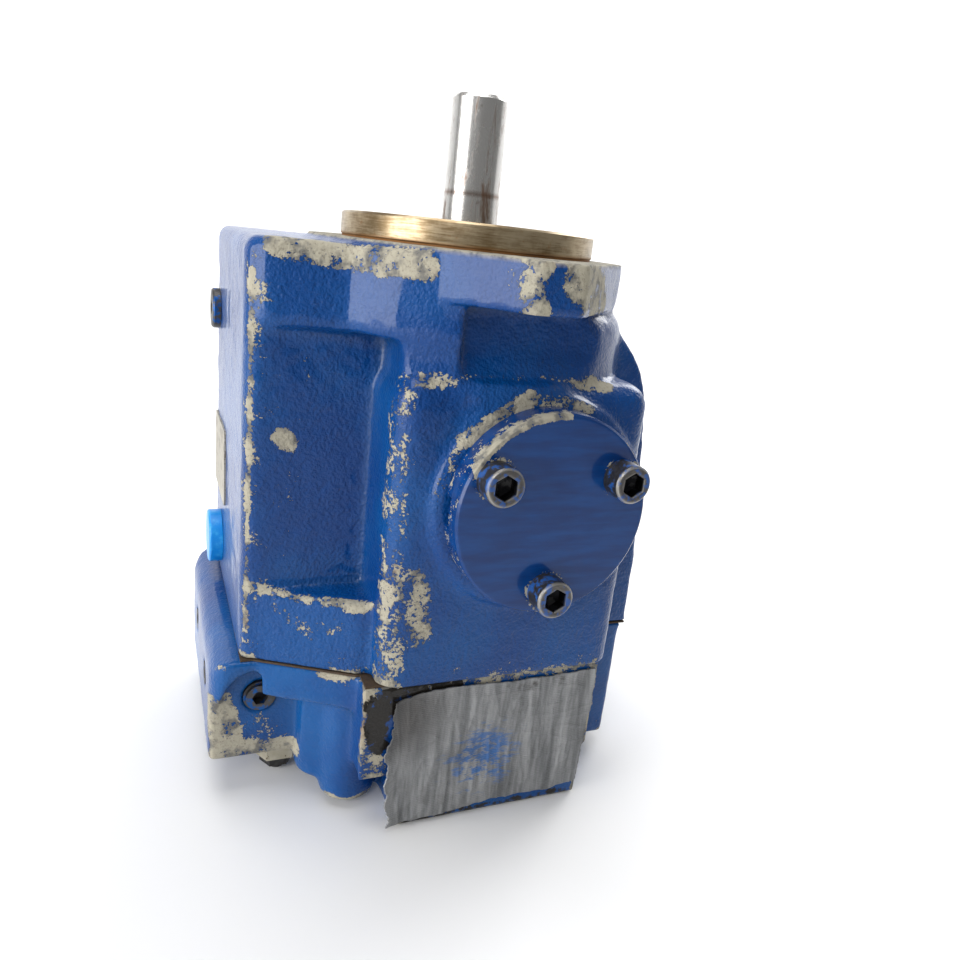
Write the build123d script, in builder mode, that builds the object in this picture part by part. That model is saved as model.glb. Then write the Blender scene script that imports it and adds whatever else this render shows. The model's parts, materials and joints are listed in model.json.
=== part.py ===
from build123d import *
import os
from math import cos, radians, sin

os.makedirs("parts", exist_ok=True)

# Axial piston pump, standing on the two feet of its port block with the shaft pointing up.
# Millimetres. The origin is on the shaft axis at the mounting face, +Z along the shaft,
# -Y towards the side that carries the inlet port, +X to the right of that side.

# ---- overall ----
case_height = 163.9        # joint face to mounting face
block_height = 67.5        # joint face down to the feet
joint_z = -case_height
case_left = -90.0
case_right = 88.0
case_front = -30.0         # flat front of the casting beside the boss
case_back = 85.0           # back of the deep left side
case_back_right = 58.0     # back of the shallower right side
box_split = -32.0          # where the deep left side ends
left_top = case_height - 2.0
flange_t = 16.9            # thickness of the mounting flange
right_top = case_height - flange_t
slope_h = 33.0             # the right side leans in above this
slope_top = 75.3           # its x at the top, before the shoulder is rounded
shoulder_r = 50.0          # rounded shoulder on the right
cast_edge = 5.0            # rounding of ordinary cast edges
shell_r = 68.0             # round shell at the upper left
upper_bottom = 132.0       # underside of the round shell
brow_proud = 2.5           # the shell runs out to the left corner, this far proud there
brow_angle = 34.0          # where that stretch leaves the round of the shell
toe_top = 31.5             # top of the sloping stretch at the lower left
toe_low = -16.0            # its lower end on the port block
toe_right = -48.0
toe_front = -50.0
neck_low = 100.0           # round neck under the flange, right of the boss's left wall
neck_left = -40.0
neck_r = 66.5
neck_shoulder_r = 10.0
gasket_t = 0.8
gasket_inset = 0.4
join = 1.0                 # how far one shape reaches into the next in one solid

# ---- mounting flange, SAE B two bolt ----
pilot_d = 101.6
pilot_h = 9.5
pilot_chamfer = 0.8
flange_r = 63.3
ear_reach = 87.3
ear_tip = 8.5              # half the flat at the end of an ear
ear_edge = 1.5
ear_tangent_angle = 49.0   # where an ear's side leaves the round of the flange
bolt_spacing = 146.05
bolt_hole_d = 14.3
pocket_left = -22.0        # bolt pocket under each ear
pocket_y = 57.0
pocket_floor = 132.0       # its floor slopes down and out from here
pocket_slope_y = 62.0

# ---- trunnion boss and cap ----
trunnion_x = 13.5
trunnion_h = 75.5          # trunnion axis above the joint face
boss_left = -43.0
boss_right = 60.0
boss_top = 121.0
boss_y = 63.0
boss_edge = 9.0
ring_r = 42.5
ring_y = 66.9
cap_d = 76.5
cap_t = 11.7
cap_edge = 1.2             # chamfer round a cap's face
cap_spigot_r = 23.5
cap_spigot_t = 4.4
cap_end_gap = 0.3
seal_land = 0.6
seal_squash = 0.8
cap_seal_r = 1.6
cap_pcd = 58.0
cap_screw_angles = (30, 150, 270)
screw_r = 4.76             # three eighths inch cap screws
screw_head_r = 7.15
screw_head_h = 9.5
screw_hex = 7.94
screw_hex_depth = 5.2
screw_edge = 0.8           # chamfer round a screw's head
screw_length = 22.0
screw_gap = 0.25           # radial clearance of a screw in its hole
hole_spare = 1.0           # a tapped hole goes this much deeper than its screw
fit_gap = 0.04             # radial running clearance

# ---- shaft and its bearings ----
shaft_d = 22.22
shaft_end = 56.5           # shaft end above the mounting face
shaft_chamfer = 1.5
seal_run_r = 11.3
seal_run_top = 19.5        # end of the seal journal above the mounting face
seal_r = 20.0
seal_t = 8.0
seal_wall = 2.0            # metal ring and rubber lip of the seal
seal_z = -1.5
bearing_bore_r = 31.0
bearing_shaft_r = 15.0
bearing_low = 138.0        # front bearing above the joint face
bearing_t = 16.0
race_t = 4.6
ball_r = 4.4
ball_count = 9
ball_pitch_r = 23.0
cage_t = 2.0
cage_h = 7.0
ring_gap = 6.0             # gap in a retaining ring
collar_r = 18.0
collar_room = 1.0          # radial room round the shaft's collar
collar_t = 4.0
ring_t = 2.0               # retaining rings
ring_depth = 2.0
mid_shaft_r = 12.5
spline_root_r = 11.0
spline_tip_r = 12.8
spline_teeth = 12
spline_tooth = 2.6
spline_top = 58.0
spline_low = 18.0
rear_journal_r = 10.0
rear_bush_r = 13.5
rear_bush_top = -3.0
rear_bush_low = -38.0
rear_clear = 2.0
keyway_w = 6.35
keyway_depth = 2.9
keyway_length = 32.0
keyway_angle = 65.0        # from +X

# ---- rotating group ----
piston_count = 9
piston_pcr = 32.0
piston_r = 8.0
piston_low = 25.0
piston_top = 66.0
piston_neck_r = 4.2
piston_shoulder = 0.5      # flat left between the neck and the chamfer
piston_ball_r = 6.0
piston_hollow_r = 4.5
piston_hollow_top = 56.0
barrel_r = 45.0
valve_plate_t = 3.5
plate_gap = 0.05           # oil film of the barrel and of the shoes
barrel_low = valve_plate_t + plate_gap
barrel_top = 58.0
barrel_bore_low = 13.0
barrel_port_r = 3.4
spring_bore_r = 18.5
spring_bore_low = 44.0
barrel_relief_r = 14.5
spline_engaged = 24.0
valve_plate_bore_r = 14.0
kidney_w = 8.0
kidney_half_angle = 58.0
socket_gap = 0.06
shoe_disc_r = 10.3
shoe_disc_t = 2.6
shoe_neck_r = 8.4
shoe_neck_low = 2.4        # neck's lower edge above the ball centre
shoe_height = 7.0          # ball centre to running face
retainer_low = 1.6
retainer_t = 2.6
retainer_r = 44.0
retainer_bore_r = 20.4
retainer_gap = 0.5
hold_ball_r = 19.2
hold_ball_low = -12.0
hold_ball_top = 3.5

# ---- yoke ----
wear_plate_t = 3.0
wear_plate_bore_r = 20.0
yoke_t = 13.5
yoke_r = 46.0
yoke_slot_left = 7.0
yoke_slot_r = 20.0
cheek_inner = 46.8
cheek_t = 6.4
cheek_half = 17.5
cheek_low = 16.0
trunnion_r = 14.0
trunnion_end = 62.2
bush_r = 19.0
bush_inner_y = 54.2
arm_reach = 69.0
arm_root = 42.0            # where an arm starts inside the yoke's plate
arm_half = 9.0
arm_low = -3.2

# ---- cavity ----
cavity_r = 48.5
cavity_upper_r = 52.0
cavity_upper_x = 4.0
cavity_split = 60.0
cavity_top = 124.0
arm_room_half = 15.0
arm_room_left = -75.0
arm_room_right = 74.0
arm_room_right_top = 104.0
cheek_room_r = 31.5
cheek_room_y = 54.2

# ---- yoke control ----
control_x = 59.0
control_r = 7.0
control_sleeve_r = 10.2
control_sleeve_low = -22.0
control_sleeve_top = 40.0
control_low = 2.0
nose_r = 5.0
nose_gap = 0.3
bias_x = -59.0
bias_guide_r = 5.5
bias_head_r = 9.5
bias_head_t = 4.0
bias_guide_length = 22.0
spring_wire = 1.5
bias_spring_r = 7.6
bias_spring_low = -12.0
bias_turns = 9
bias_seat_r = 10.0
barrel_spring_r = 16.2
barrel_spring_turns = 4

# ---- port block ----
flank_left = -101.0        # outer face of the left flank
flank_low = -49.0
flank_front = -31.0
flank_edge = 9.0
block_back = 88.0
core_left = -47.0
core_right = 86.0
core_low = -61.0
pad_y = 59.0
pad_left = -47.0
pad_right = 57.0
pad_step = -42.0
foot_left = -31.0
foot_right = 55.0
foot_inner_y = 20.0
lobe_x = -52.5
lobe_y = -22.5
lobe_r = 13.5
lobe_low = -57.0
stub_x = -45.0
stub_y = -33.0
stub_r = 12.0
stub_low = -64.0
port_x = 11.0
port_h = -33.0
inlet_r = 19.0
outlet_r = 12.7
port_depth = 34.0
outlet_bolt_x = 26.2
outlet_bolt_z = 52.4
port_bolt_r = 4.4
port_bolt_depth = 20.0
tape_t = 0.9
tape_left = -41.0
tape_right = 55.5
tape_top = -3.0
tape_low = -66.0
ear_pocket_x = -81.0
ear_pocket_h = -20.0
ear_pocket_r = 15.5
ear_pocket_depth = 7.0
plug_r = 6.6
plug_hex = 5.6
plug_length = 12.0
plug_hex_depth = 4.5
plug_proud = 1.5
plug_step = 1.0            # the head of a plug is this much smaller than its thread

# ---- compensator ----
comp_x = -71.0
comp_y = -8.0
comp_spool_r = 5.0
comp_land = 6.0
comp_neck_r = 3.2
comp_spool_top = -6.0
comp_spool_low = -34.0
comp_spring_r = 4.6
comp_spring_turns = 5
comp_spring_low = -47.0
comp_housing_r = 9.5
comp_housing_low = -57.5
comp_chamber_r = 6.2
comp_screw_r = 3.5
comp_screw_low = -66.0
comp_nut_flat = 12.7
comp_nut_t = 5.5
comp_screw_hex = 3.0
comp_chamber_top = -36.5
comp_end_room = 3.0
comp_wire = 0.8

# ---- block screws ----
bolt_r = 5.0
bolt_head_r = 8.0
bolt_head_h = 10.0
bolt_seat = -34.0
bolt_end = 24.0
bolt_hex = 8.0
bolt_places = ((-82.0, 30.0), (-74.0, 74.0), (stub_x - 1.5, stub_y - 1.0),
               (76.0, -20.5), (76.0, 47.0), (38.0, 44.5))

# ---- small outer pieces on the left face ----
drain_y = 58.0
drain_h = 19.0
drain_cap_r = 12.5
drain_cap_t = 6.0
drain_spigot_r = 8.0
drain_depth = 12.0
drain_cap_wall = 1.6
drain_cap_edge = 1.2
drain_cap_room = 1.0       # the cap's spigot stops short of the hole's end
case_plug_y = 74.0
case_plug_h = 125.0
case_plug_r = 9.0
case_plug_t = 3.5
case_plug_step = 2.0       # the plug's flange stands this much outside its thread
case_plug_edge = 0.8
name_y = (34.0, 80.0)
name_h = (42.0, 76.0)
name_t = 0.8
name_corner = 2.0
flank_plug_y = (2.0, 52.0)
flank_plug_h = -22.0
flank_plug_r = 5.0
flank_plug_length = 8.0


def level(h):
    """Height above the joint face, as a z value."""
    return joint_z + h


def ring_points(count, radius):
    """Evenly spaced points round the shaft axis, the first on +X."""
    return [(radius * cos(radians(i * 360 / count)),
             radius * sin(radians(i * 360 / count))) for i in range(count)]


def save(part, name):
    """Labels a finished piece and writes its STEP file."""
    part.label = name
    export_step(part, f"parts/{name}.step")


def side_plane(x, y, z, sign):
    """A plane whose normal points along sign * Y, with its local y up along +Z."""
    return Plane(origin=(x, y, z), x_dir=(-sign, 0, 0), z_dir=(0, sign, 0))


def lump(x, y, z, edge):
    """A cast block between the given corners, its upright edges and its top rounded."""
    with BuildPart() as made:
        with BuildSketch(Plane.XY.offset(z[0])):
            with Locations(((x[0] + x[1]) / 2, (y[0] + y[1]) / 2)):
                Rectangle(x[1] - x[0], y[1] - y[0])
        extrude(amount=z[1] - z[0])
        fillet(made.edges().filter_by(Axis.Z) + made.faces().sort_by(Axis.Z)[-1].edges(), edge)
    return made.part


def toe_points(inset):
    """Outline of the sloping stretch that the case, the gasket and the port block share."""
    return [(case_left + cast_edge, case_front + inset), (toe_right, toe_front + inset),
            (boss_left + join, toe_front + inset), (boss_left + join, 0), (case_left + cast_edge, 0)]


def coil(radius, wire, low, top, turns, x=0.0, y=0.0):
    """A round wire spring standing on its axis, as a stack of closed turns."""
    with BuildPart() as made:
        with BuildLine(Plane.XY):
            Helix((top - low - 2 * wire) / turns, top - low - 2 * wire, radius,
                  center=(x, y, low + wire))
        with BuildSketch(Plane(origin=(x + radius, y, low + wire), z_dir=(0, 1, 0))):
            Circle(wire)
        sweep(is_frenet=True)
    return made.part


def cap_screw(x, z, seat, side):
    """A socket head screw whose head stands on a seat plane facing sign * Y."""
    with BuildPart() as made:
        with BuildSketch(side_plane(x, side * seat, z, side)):
            Circle(screw_head_r)
        extrude(amount=screw_head_h)
        outer_face = made.faces().filter_by(Axis.Y).sort_by(Axis.Y)[-1 if side > 0 else 0]
        chamfer(outer_face.edges(), screw_edge)
        with BuildSketch(side_plane(x, side * seat, z, side)):
            Circle(screw_r)
        extrude(amount=-screw_length)
        with BuildSketch(side_plane(x, side * (seat + screw_head_h), z, side)):
            RegularPolygon(screw_hex / 2, 6, major_radius=False)
        extrude(amount=-screw_hex_depth, mode=Mode.SUBTRACT)
    return made.part


# ---- case ----
left_box = lump((case_left, box_split), (case_front, case_back),
                (level(gasket_t), level(left_top)), cast_edge)
with BuildPart() as right_box:
    with BuildSketch(Plane.XZ.offset(-case_back_right)):
        with BuildLine():
            Polyline((box_split, level(gasket_t)), (case_right, level(gasket_t)),
                     (case_right, level(slope_h)), (slope_top, level(right_top)),
                     (box_split, level(right_top)), close=True)
        make_face()
    extrude(amount=case_back_right - case_front)
    fillet(right_box.edges().filter_by(Axis.Y).group_by(Axis.Z)[-1].sort_by(Axis.X)[-1], shoulder_r)
front_boss = lump((boss_left, boss_right), (-boss_y, 0), (level(gasket_t), level(boss_top)), boss_edge)
rear_boss = lump((boss_left, boss_right), (0, boss_y), (level(gasket_t), level(boss_top)), boss_edge)

tangent_x = flange_r * sin(radians(ear_tangent_angle))
tangent_y = flange_r * cos(radians(ear_tangent_angle))
with BuildPart() as flange:
    with BuildSketch(Plane.XY.offset(-flange_t)):
        Circle(flange_r)
        with BuildLine():
            Polyline((-ear_tip, -ear_reach), (ear_tip, -ear_reach), (tangent_x, -tangent_y),
                     (tangent_x, tangent_y), (ear_tip, ear_reach), (-ear_tip, ear_reach),
                     (-tangent_x, tangent_y), (-tangent_x, -tangent_y), close=True)
        make_face()
    extrude(amount=flange_t)
    uprights = flange.edges().filter_by(Axis.Z).group_by(Axis.Y)
    fillet(uprights[0] + uprights[-1], ear_edge)
    with BuildSketch(Plane.XY):
        Circle(pilot_d / 2)
    extrude(amount=pilot_h)
    chamfer(flange.faces().sort_by(Axis.Z)[-1].edges(), pilot_chamfer)

with BuildPart() as neck:
    with BuildSketch(Plane.XY.offset(level(neck_low))):
        Circle(neck_r)
    extrude(amount=right_top - neck_low)
    fillet(neck.faces().sort_by(Axis.Z)[-1].edges(), neck_shoulder_r)
    split(bisect_by=Plane.YZ.offset(neck_left), keep=Keep.TOP)

with BuildPart() as case:
    add(left_box)
    add(right_box.part)
    add(front_boss)
    add(rear_boss)
    # the round shell at the top left and the sloping stretch at the bottom left
    with BuildSketch(Plane.XY.offset(level(upper_bottom))):
        Circle(shell_r)
        with Locations((shell_r, 0)):
            Rectangle(2 * shell_r, 2 * shell_r, mode=Mode.SUBTRACT)
        with BuildLine():
            Polyline((case_left + cast_edge, 0), (case_left + cast_edge, case_front - brow_proud),
                     (-shell_r * cos(radians(brow_angle)), -shell_r * sin(radians(brow_angle))),
                     (-shell_r * cos(radians(brow_angle)), 0), close=True)
        make_face()
    extrude(amount=left_top - upper_bottom)
    with BuildSketch(Plane.XY.offset(level(gasket_t))):
        with BuildLine():
            Polyline(*toe_points(0), close=True)
        make_face()
    extrude(amount=toe_top - gasket_t)
    add(neck.part)
    add(flange.part)
    # raised rings for the trunnion caps
    for side in (-1, 1):
        with BuildSketch(side_plane(trunnion_x, 0, level(trunnion_h), side)):
            Circle(ring_r)
        extrude(amount=ring_y)
    # pockets for the mounting bolts, with floors that slope down and out
    with BuildSketch(Plane.YZ.offset(pocket_left)):
        for side in (-1, 1):
            with BuildLine():
                Polyline((side * pocket_y, level(pocket_floor)), (side * pocket_slope_y, level(boss_top)),
                         (side * (ear_reach + join), level(boss_top)),
                         (side * (ear_reach + join), level(right_top)),
                         (side * pocket_y, level(right_top)), close=True)
            make_face()
    extrude(amount=boss_right - pocket_left, mode=Mode.SUBTRACT)
    with BuildSketch(Plane.XY):
        with Locations((0, -bolt_spacing / 2), (0, bolt_spacing / 2)):
            Circle(bolt_hole_d / 2)
    extrude(amount=-flange_t, mode=Mode.SUBTRACT)
    # room for the barrel, the yoke and its arms
    with BuildSketch(Plane.XY.offset(level(gasket_t))):
        Circle(cavity_r)
    extrude(amount=cavity_top - gasket_t, mode=Mode.SUBTRACT)
    with BuildSketch(Plane.XY.offset(level(cavity_split))):
        with Locations((cavity_upper_x, 0)):
            Circle(cavity_upper_r)
    extrude(amount=cavity_top - cavity_split, mode=Mode.SUBTRACT)
    for end, top in ((arm_room_left, cavity_top), (arm_room_right, arm_room_right_top)):
        with BuildSketch(Plane.XY.offset(level(gasket_t))):
            with Locations((end / 2, 0)):
                Rectangle(abs(end), 2 * arm_room_half)
        extrude(amount=top - gasket_t, mode=Mode.SUBTRACT)
    with BuildSketch(side_plane(trunnion_x, -cheek_room_y, level(trunnion_h), 1)):
        Circle(cheek_room_r)
    extrude(amount=2 * cheek_room_y, mode=Mode.SUBTRACT)
    # trunnion bores, cap spigot bores and the tapped holes round them
    for side in (-1, 1):
        with BuildSketch(side_plane(trunnion_x, 0, level(trunnion_h), side)):
            Circle(bush_r)
        extrude(amount=ring_y, mode=Mode.SUBTRACT)
        with BuildSketch(side_plane(trunnion_x, side * ring_y, level(trunnion_h), side)):
            Circle(cap_spigot_r)
        extrude(amount=-cap_spigot_t, mode=Mode.SUBTRACT)
        with BuildSketch(side_plane(trunnion_x, side * ring_y, level(trunnion_h), side)):
            for angle in cap_screw_angles:
                with Locations((-side * cap_pcd / 2 * cos(radians(angle)),
                                cap_pcd / 2 * sin(radians(angle)))):
                    Circle(screw_r + screw_gap)
        extrude(amount=-(screw_length - cap_t + hole_spare), mode=Mode.SUBTRACT)
    # seal bore, bearing bore and its retaining ring groove
    with BuildSketch(Plane.XY.offset(pilot_h)):
        Circle(seal_r)
    extrude(amount=-(pilot_h - seal_z), mode=Mode.SUBTRACT)
    with BuildSketch(Plane.XY.offset(pilot_h)):
        Circle(collar_r)
    extrude(amount=-(pilot_h - joint_z - cavity_top), mode=Mode.SUBTRACT)
    with BuildSketch(Plane.XY.offset(level(cavity_top))):
        Circle(bearing_bore_r)
    extrude(amount=bearing_low + bearing_t - cavity_top, mode=Mode.SUBTRACT)
    with BuildSketch(Plane.XY.offset(level(bearing_low - ring_t))):
        Circle(bearing_bore_r + ring_depth)
    extrude(amount=ring_t, mode=Mode.SUBTRACT)
    with BuildSketch(Plane.XY.offset(seal_z + seal_t)):
        Circle(seal_r + ring_depth)
    extrude(amount=ring_t, mode=Mode.SUBTRACT)
    # tapped holes for the block screws
    with BuildSketch(Plane.XY.offset(level(gasket_t))):
        with Locations(*bolt_places):
            Circle(bolt_r + screw_gap)
    extrude(amount=bolt_end + hole_spare, mode=Mode.SUBTRACT)
    # drain port and plug hole in the left face
    for y, h, hole_r in ((drain_y, drain_h, drain_spigot_r),
                         (case_plug_y, case_plug_h, case_plug_r - case_plug_step)):
        with BuildSketch(Plane(origin=(case_left, y, level(h)), z_dir=(-1, 0, 0))):
            Circle(hole_r)
        extrude(amount=-drain_depth, mode=Mode.SUBTRACT)
save(case.part, "case")

# ---- port block ----
with BuildPart() as flank:
    with BuildSketch(Plane.XY.offset(level(flank_low))):
        with Locations(((flank_left + core_left) / 2, (flank_front + block_back) / 2)):
            Rectangle(core_left - flank_left, block_back - flank_front)
    extrude(amount=-flank_low)
    # the left face is rounded all round but for its lower edge
    fillet(flank.faces().sort_by(Axis.X)[0].edges().sort_by(Axis.Z)[1:], flank_edge)

kidney_arcs = [CenterArc((0, 0), piston_pcr, side * 90 - kidney_half_angle, 2 * kidney_half_angle)
               for side in (-1, 1)]
with BuildPart() as port_block:
    add(flank.part)
    with BuildSketch(Plane.XY.offset(level(toe_low))):
        with BuildLine():
            Polyline(*toe_points(0), close=True)
        make_face()
    extrude(amount=-toe_low)
    with BuildSketch(Plane.XY.offset(level(core_low))):
        with Locations(((core_left + core_right) / 2, (case_front + case_back_right) / 2)):
            Rectangle(core_right - core_left, case_back_right - case_front)
    extrude(amount=-core_low)
    # a port pad at the front and one at the back, each running down into a foot
    for side in (-1, 1):
        with BuildSketch(Plane.XY.offset(level(pad_step))):
            with Locations(((pad_left + pad_right) / 2, side * pad_y / 2)):
                Rectangle(pad_right - pad_left, pad_y)
        extrude(amount=-pad_step)
        with BuildSketch(Plane.XY.offset(level(-block_height))):
            with Locations(((foot_left + foot_right) / 2, side * (pad_y + foot_inner_y) / 2)):
                Rectangle(foot_right - foot_left, pad_y - foot_inner_y)
        extrude(amount=block_height)
    # bosses for the compensator and for the corner screw
    with BuildSketch(Plane.XY.offset(level(lobe_low))):
        with Locations((lobe_x, lobe_y)):
            Circle(lobe_r)
    extrude(amount=-lobe_low)
    with BuildSketch(Plane.XY.offset(level(stub_low))):
        with Locations((stub_x, stub_y)):
            Circle(stub_r)
    extrude(amount=-stub_low)
    # inlet at the front, outlet at the back, each met by a kidney from the joint face
    for side, radius in ((-1, inlet_r), (1, outlet_r)):
        with BuildSketch(side_plane(port_x, side * pad_y, level(port_h), side)):
            Circle(radius)
        extrude(amount=-port_depth, mode=Mode.SUBTRACT)
    with BuildSketch(Plane.XY.offset(joint_z)):
        for arc in kidney_arcs:
            SlotArc(arc=arc, height=kidney_w)
    extrude(amount=port_h, mode=Mode.SUBTRACT)
    # tapped holes round the outlet
    with BuildSketch(side_plane(port_x, pad_y, level(port_h), 1)):
        with GridLocations(outlet_bolt_x, outlet_bolt_z, 2, 2):
            Circle(port_bolt_r)
    extrude(amount=-port_bolt_depth, mode=Mode.SUBTRACT)
    # rear journal bush bore and sump under it
    with BuildSketch(Plane.XY.offset(joint_z)):
        Circle(rear_bush_r)
    extrude(amount=rear_bush_low - rear_clear, mode=Mode.SUBTRACT)
    # pocket in the corner of the flank, open to the left and below, with a drilled hole for its plug
    with BuildSketch(side_plane(ear_pocket_x, flank_front, level(ear_pocket_h), -1)):
        Circle(ear_pocket_r)
        with Locations((ear_pocket_r, 0)):
            Rectangle(ear_pocket_x + ear_pocket_r - flank_left + join, ear_pocket_h - flank_low + join,
                      align=(Align.MAX, Align.MAX))
    extrude(amount=-ear_pocket_depth, mode=Mode.SUBTRACT)
    with BuildSketch(side_plane(ear_pocket_x, flank_front + ear_pocket_depth, level(ear_pocket_h), -1)):
        Circle(plug_r)
    extrude(amount=-plug_length, mode=Mode.SUBTRACT)
    # cylinder for the control sleeve and a recess for the bias spring
    with BuildSketch(Plane.XY.offset(joint_z)):
        with Locations((control_x, 0)):
            Circle(control_sleeve_r)
    extrude(amount=control_sleeve_low, mode=Mode.SUBTRACT)
    with BuildSketch(Plane.XY.offset(joint_z)):
        with Locations((bias_x, 0)):
            Circle(bias_seat_r)
    extrude(amount=bias_spring_low, mode=Mode.SUBTRACT)
    # compensator: spool bore from the joint face, spring chamber from below
    with BuildSketch(Plane.XY.offset(level(flank_low))):
        with Locations((comp_x, comp_y)):
            Circle(comp_spool_r + fit_gap)
    extrude(amount=comp_spool_top + comp_end_room - flank_low, mode=Mode.SUBTRACT)
    with BuildSketch(Plane.XY.offset(level(lobe_low))):
        with Locations((comp_x, comp_y)):
            Circle(comp_chamber_r)
    extrude(amount=comp_chamber_top - lobe_low, mode=Mode.SUBTRACT)
    # counterbored holes for the block screws
    for low, top, radius in ((-block_height, bolt_seat, bolt_head_r + screw_gap),
                             (bolt_seat, 0, bolt_r + screw_gap)):
        with BuildSketch(Plane.XY.offset(level(low))):
            with Locations(*bolt_places):
                Circle(radius)
        extrude(amount=top - low, mode=Mode.SUBTRACT)
    # small plug holes along the flank
    for y in flank_plug_y:
        with BuildSketch(Plane(origin=(flank_left, y, level(flank_plug_h)), z_dir=(-1, 0, 0))):
            Circle(flank_plug_r)
        extrude(amount=-flank_plug_length, mode=Mode.SUBTRACT)
save(port_block.part, "port_block")

# ---- gasket between the two castings ----
with BuildPart() as joint_gasket:
    with BuildSketch(Plane.XY.offset(joint_z)):
        with Locations(((case_left + box_split) / 2, (case_front + case_back) / 2)):
            Rectangle(box_split - case_left - 2 * gasket_inset, case_back - case_front - 2 * gasket_inset)
        with Locations(((box_split + case_right) / 2, (case_front + case_back_right) / 2)):
            Rectangle(case_right - box_split - gasket_inset, case_back_right - case_front - 2 * gasket_inset)
        with Locations(((pad_left + pad_right) / 2, 0)):
            Rectangle(pad_right - pad_left - 2 * gasket_inset, 2 * (pad_y - gasket_inset))
        with BuildLine():
            Polyline(*toe_points(gasket_inset), close=True)
        make_face()
        Circle(cavity_r, mode=Mode.SUBTRACT)
        with Locations(((arm_room_left + arm_room_right) / 2, 0)):
            Rectangle(arm_room_right - arm_room_left, 2 * arm_room_half, mode=Mode.SUBTRACT)
        with Locations(*bolt_places):
            Circle(bolt_r + screw_gap, mode=Mode.SUBTRACT)
    extrude(amount=gasket_t)
save(joint_gasket.part, "joint_gasket")

# ---- screws that hold the port block ----
with BuildPart() as block_screws:
    with BuildSketch(Plane.XY.offset(level(bolt_seat))):
        with Locations(*bolt_places):
            Circle(bolt_head_r)
    extrude(amount=-bolt_head_h)
    with BuildSketch(Plane.XY.offset(level(bolt_seat))):
        with Locations(*bolt_places):
            Circle(bolt_r)
    extrude(amount=bolt_end - bolt_seat)
    with BuildSketch(Plane.XY.offset(level(bolt_seat - bolt_head_h))):
        with Locations(*bolt_places):
            RegularPolygon(bolt_hex / 2, 6, major_radius=False)
    extrude(amount=bolt_head_h / 2, mode=Mode.SUBTRACT)
save(block_screws.part, "block_screws")

# ---- trunnion caps, their screws, seals and bushes ----
for side, where in ((-1, "front"), (1, "rear")):
    with BuildPart() as trunnion_cap:
        with BuildSketch(side_plane(trunnion_x, side * ring_y, level(trunnion_h), side)):
            Circle(cap_d / 2)
        extrude(amount=cap_t)
        outer_face = trunnion_cap.faces().filter_by(Axis.Y).sort_by(Axis.Y)[-1 if side > 0 else 0]
        chamfer(outer_face.edges(), cap_edge)
        with BuildSketch(side_plane(trunnion_x, side * ring_y, level(trunnion_h), side)):
            Circle(cap_spigot_r - fit_gap)
        extrude(amount=-(cap_spigot_t - cap_end_gap))
        # seal groove round the spigot
        with BuildSketch(side_plane(trunnion_x, side * (ring_y - seal_land), level(trunnion_h), side)):
            Circle(cap_spigot_r)
            Circle(cap_spigot_r - 2 * cap_seal_r, mode=Mode.SUBTRACT)
        extrude(amount=-2 * cap_seal_r * seal_squash, mode=Mode.SUBTRACT)
        with BuildSketch(side_plane(trunnion_x, side * ring_y, level(trunnion_h), side)):
            for angle in cap_screw_angles:
                with Locations((-side * cap_pcd / 2 * cos(radians(angle)),
                                cap_pcd / 2 * sin(radians(angle)))):
                    Circle(screw_r + screw_gap)
        extrude(amount=cap_t, mode=Mode.SUBTRACT)
    save(trunnion_cap.part, f"{where}_trunnion_cap")

    with BuildPart() as cap_screws:
        for angle in cap_screw_angles:
            add(cap_screw(trunnion_x + cap_pcd / 2 * cos(radians(angle)),
                          level(trunnion_h) + cap_pcd / 2 * sin(radians(angle)), ring_y + cap_t, side))
    save(cap_screws.part, f"{where}_cap_screws")

with BuildPart() as trunnion_cap_seals:
    for side in (-1, 1):
        with BuildSketch(side_plane(trunnion_x, side * (ring_y - seal_land), level(trunnion_h), side)):
            Circle(cap_spigot_r)
            Circle(cap_spigot_r - 2 * cap_seal_r, mode=Mode.SUBTRACT)
        extrude(amount=-2 * cap_seal_r * seal_squash)
save(trunnion_cap_seals.part, "trunnion_cap_seals")

with BuildPart() as trunnion_bushes:
    for side in (-1, 1):
        with BuildSketch(side_plane(trunnion_x, side * bush_inner_y, level(trunnion_h), side)):
            Circle(bush_r)
            Circle(trunnion_r + fit_gap, mode=Mode.SUBTRACT)
        extrude(amount=ring_y - cap_spigot_t - bush_inner_y)
save(trunnion_bushes.part, "trunnion_bushes")

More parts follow.
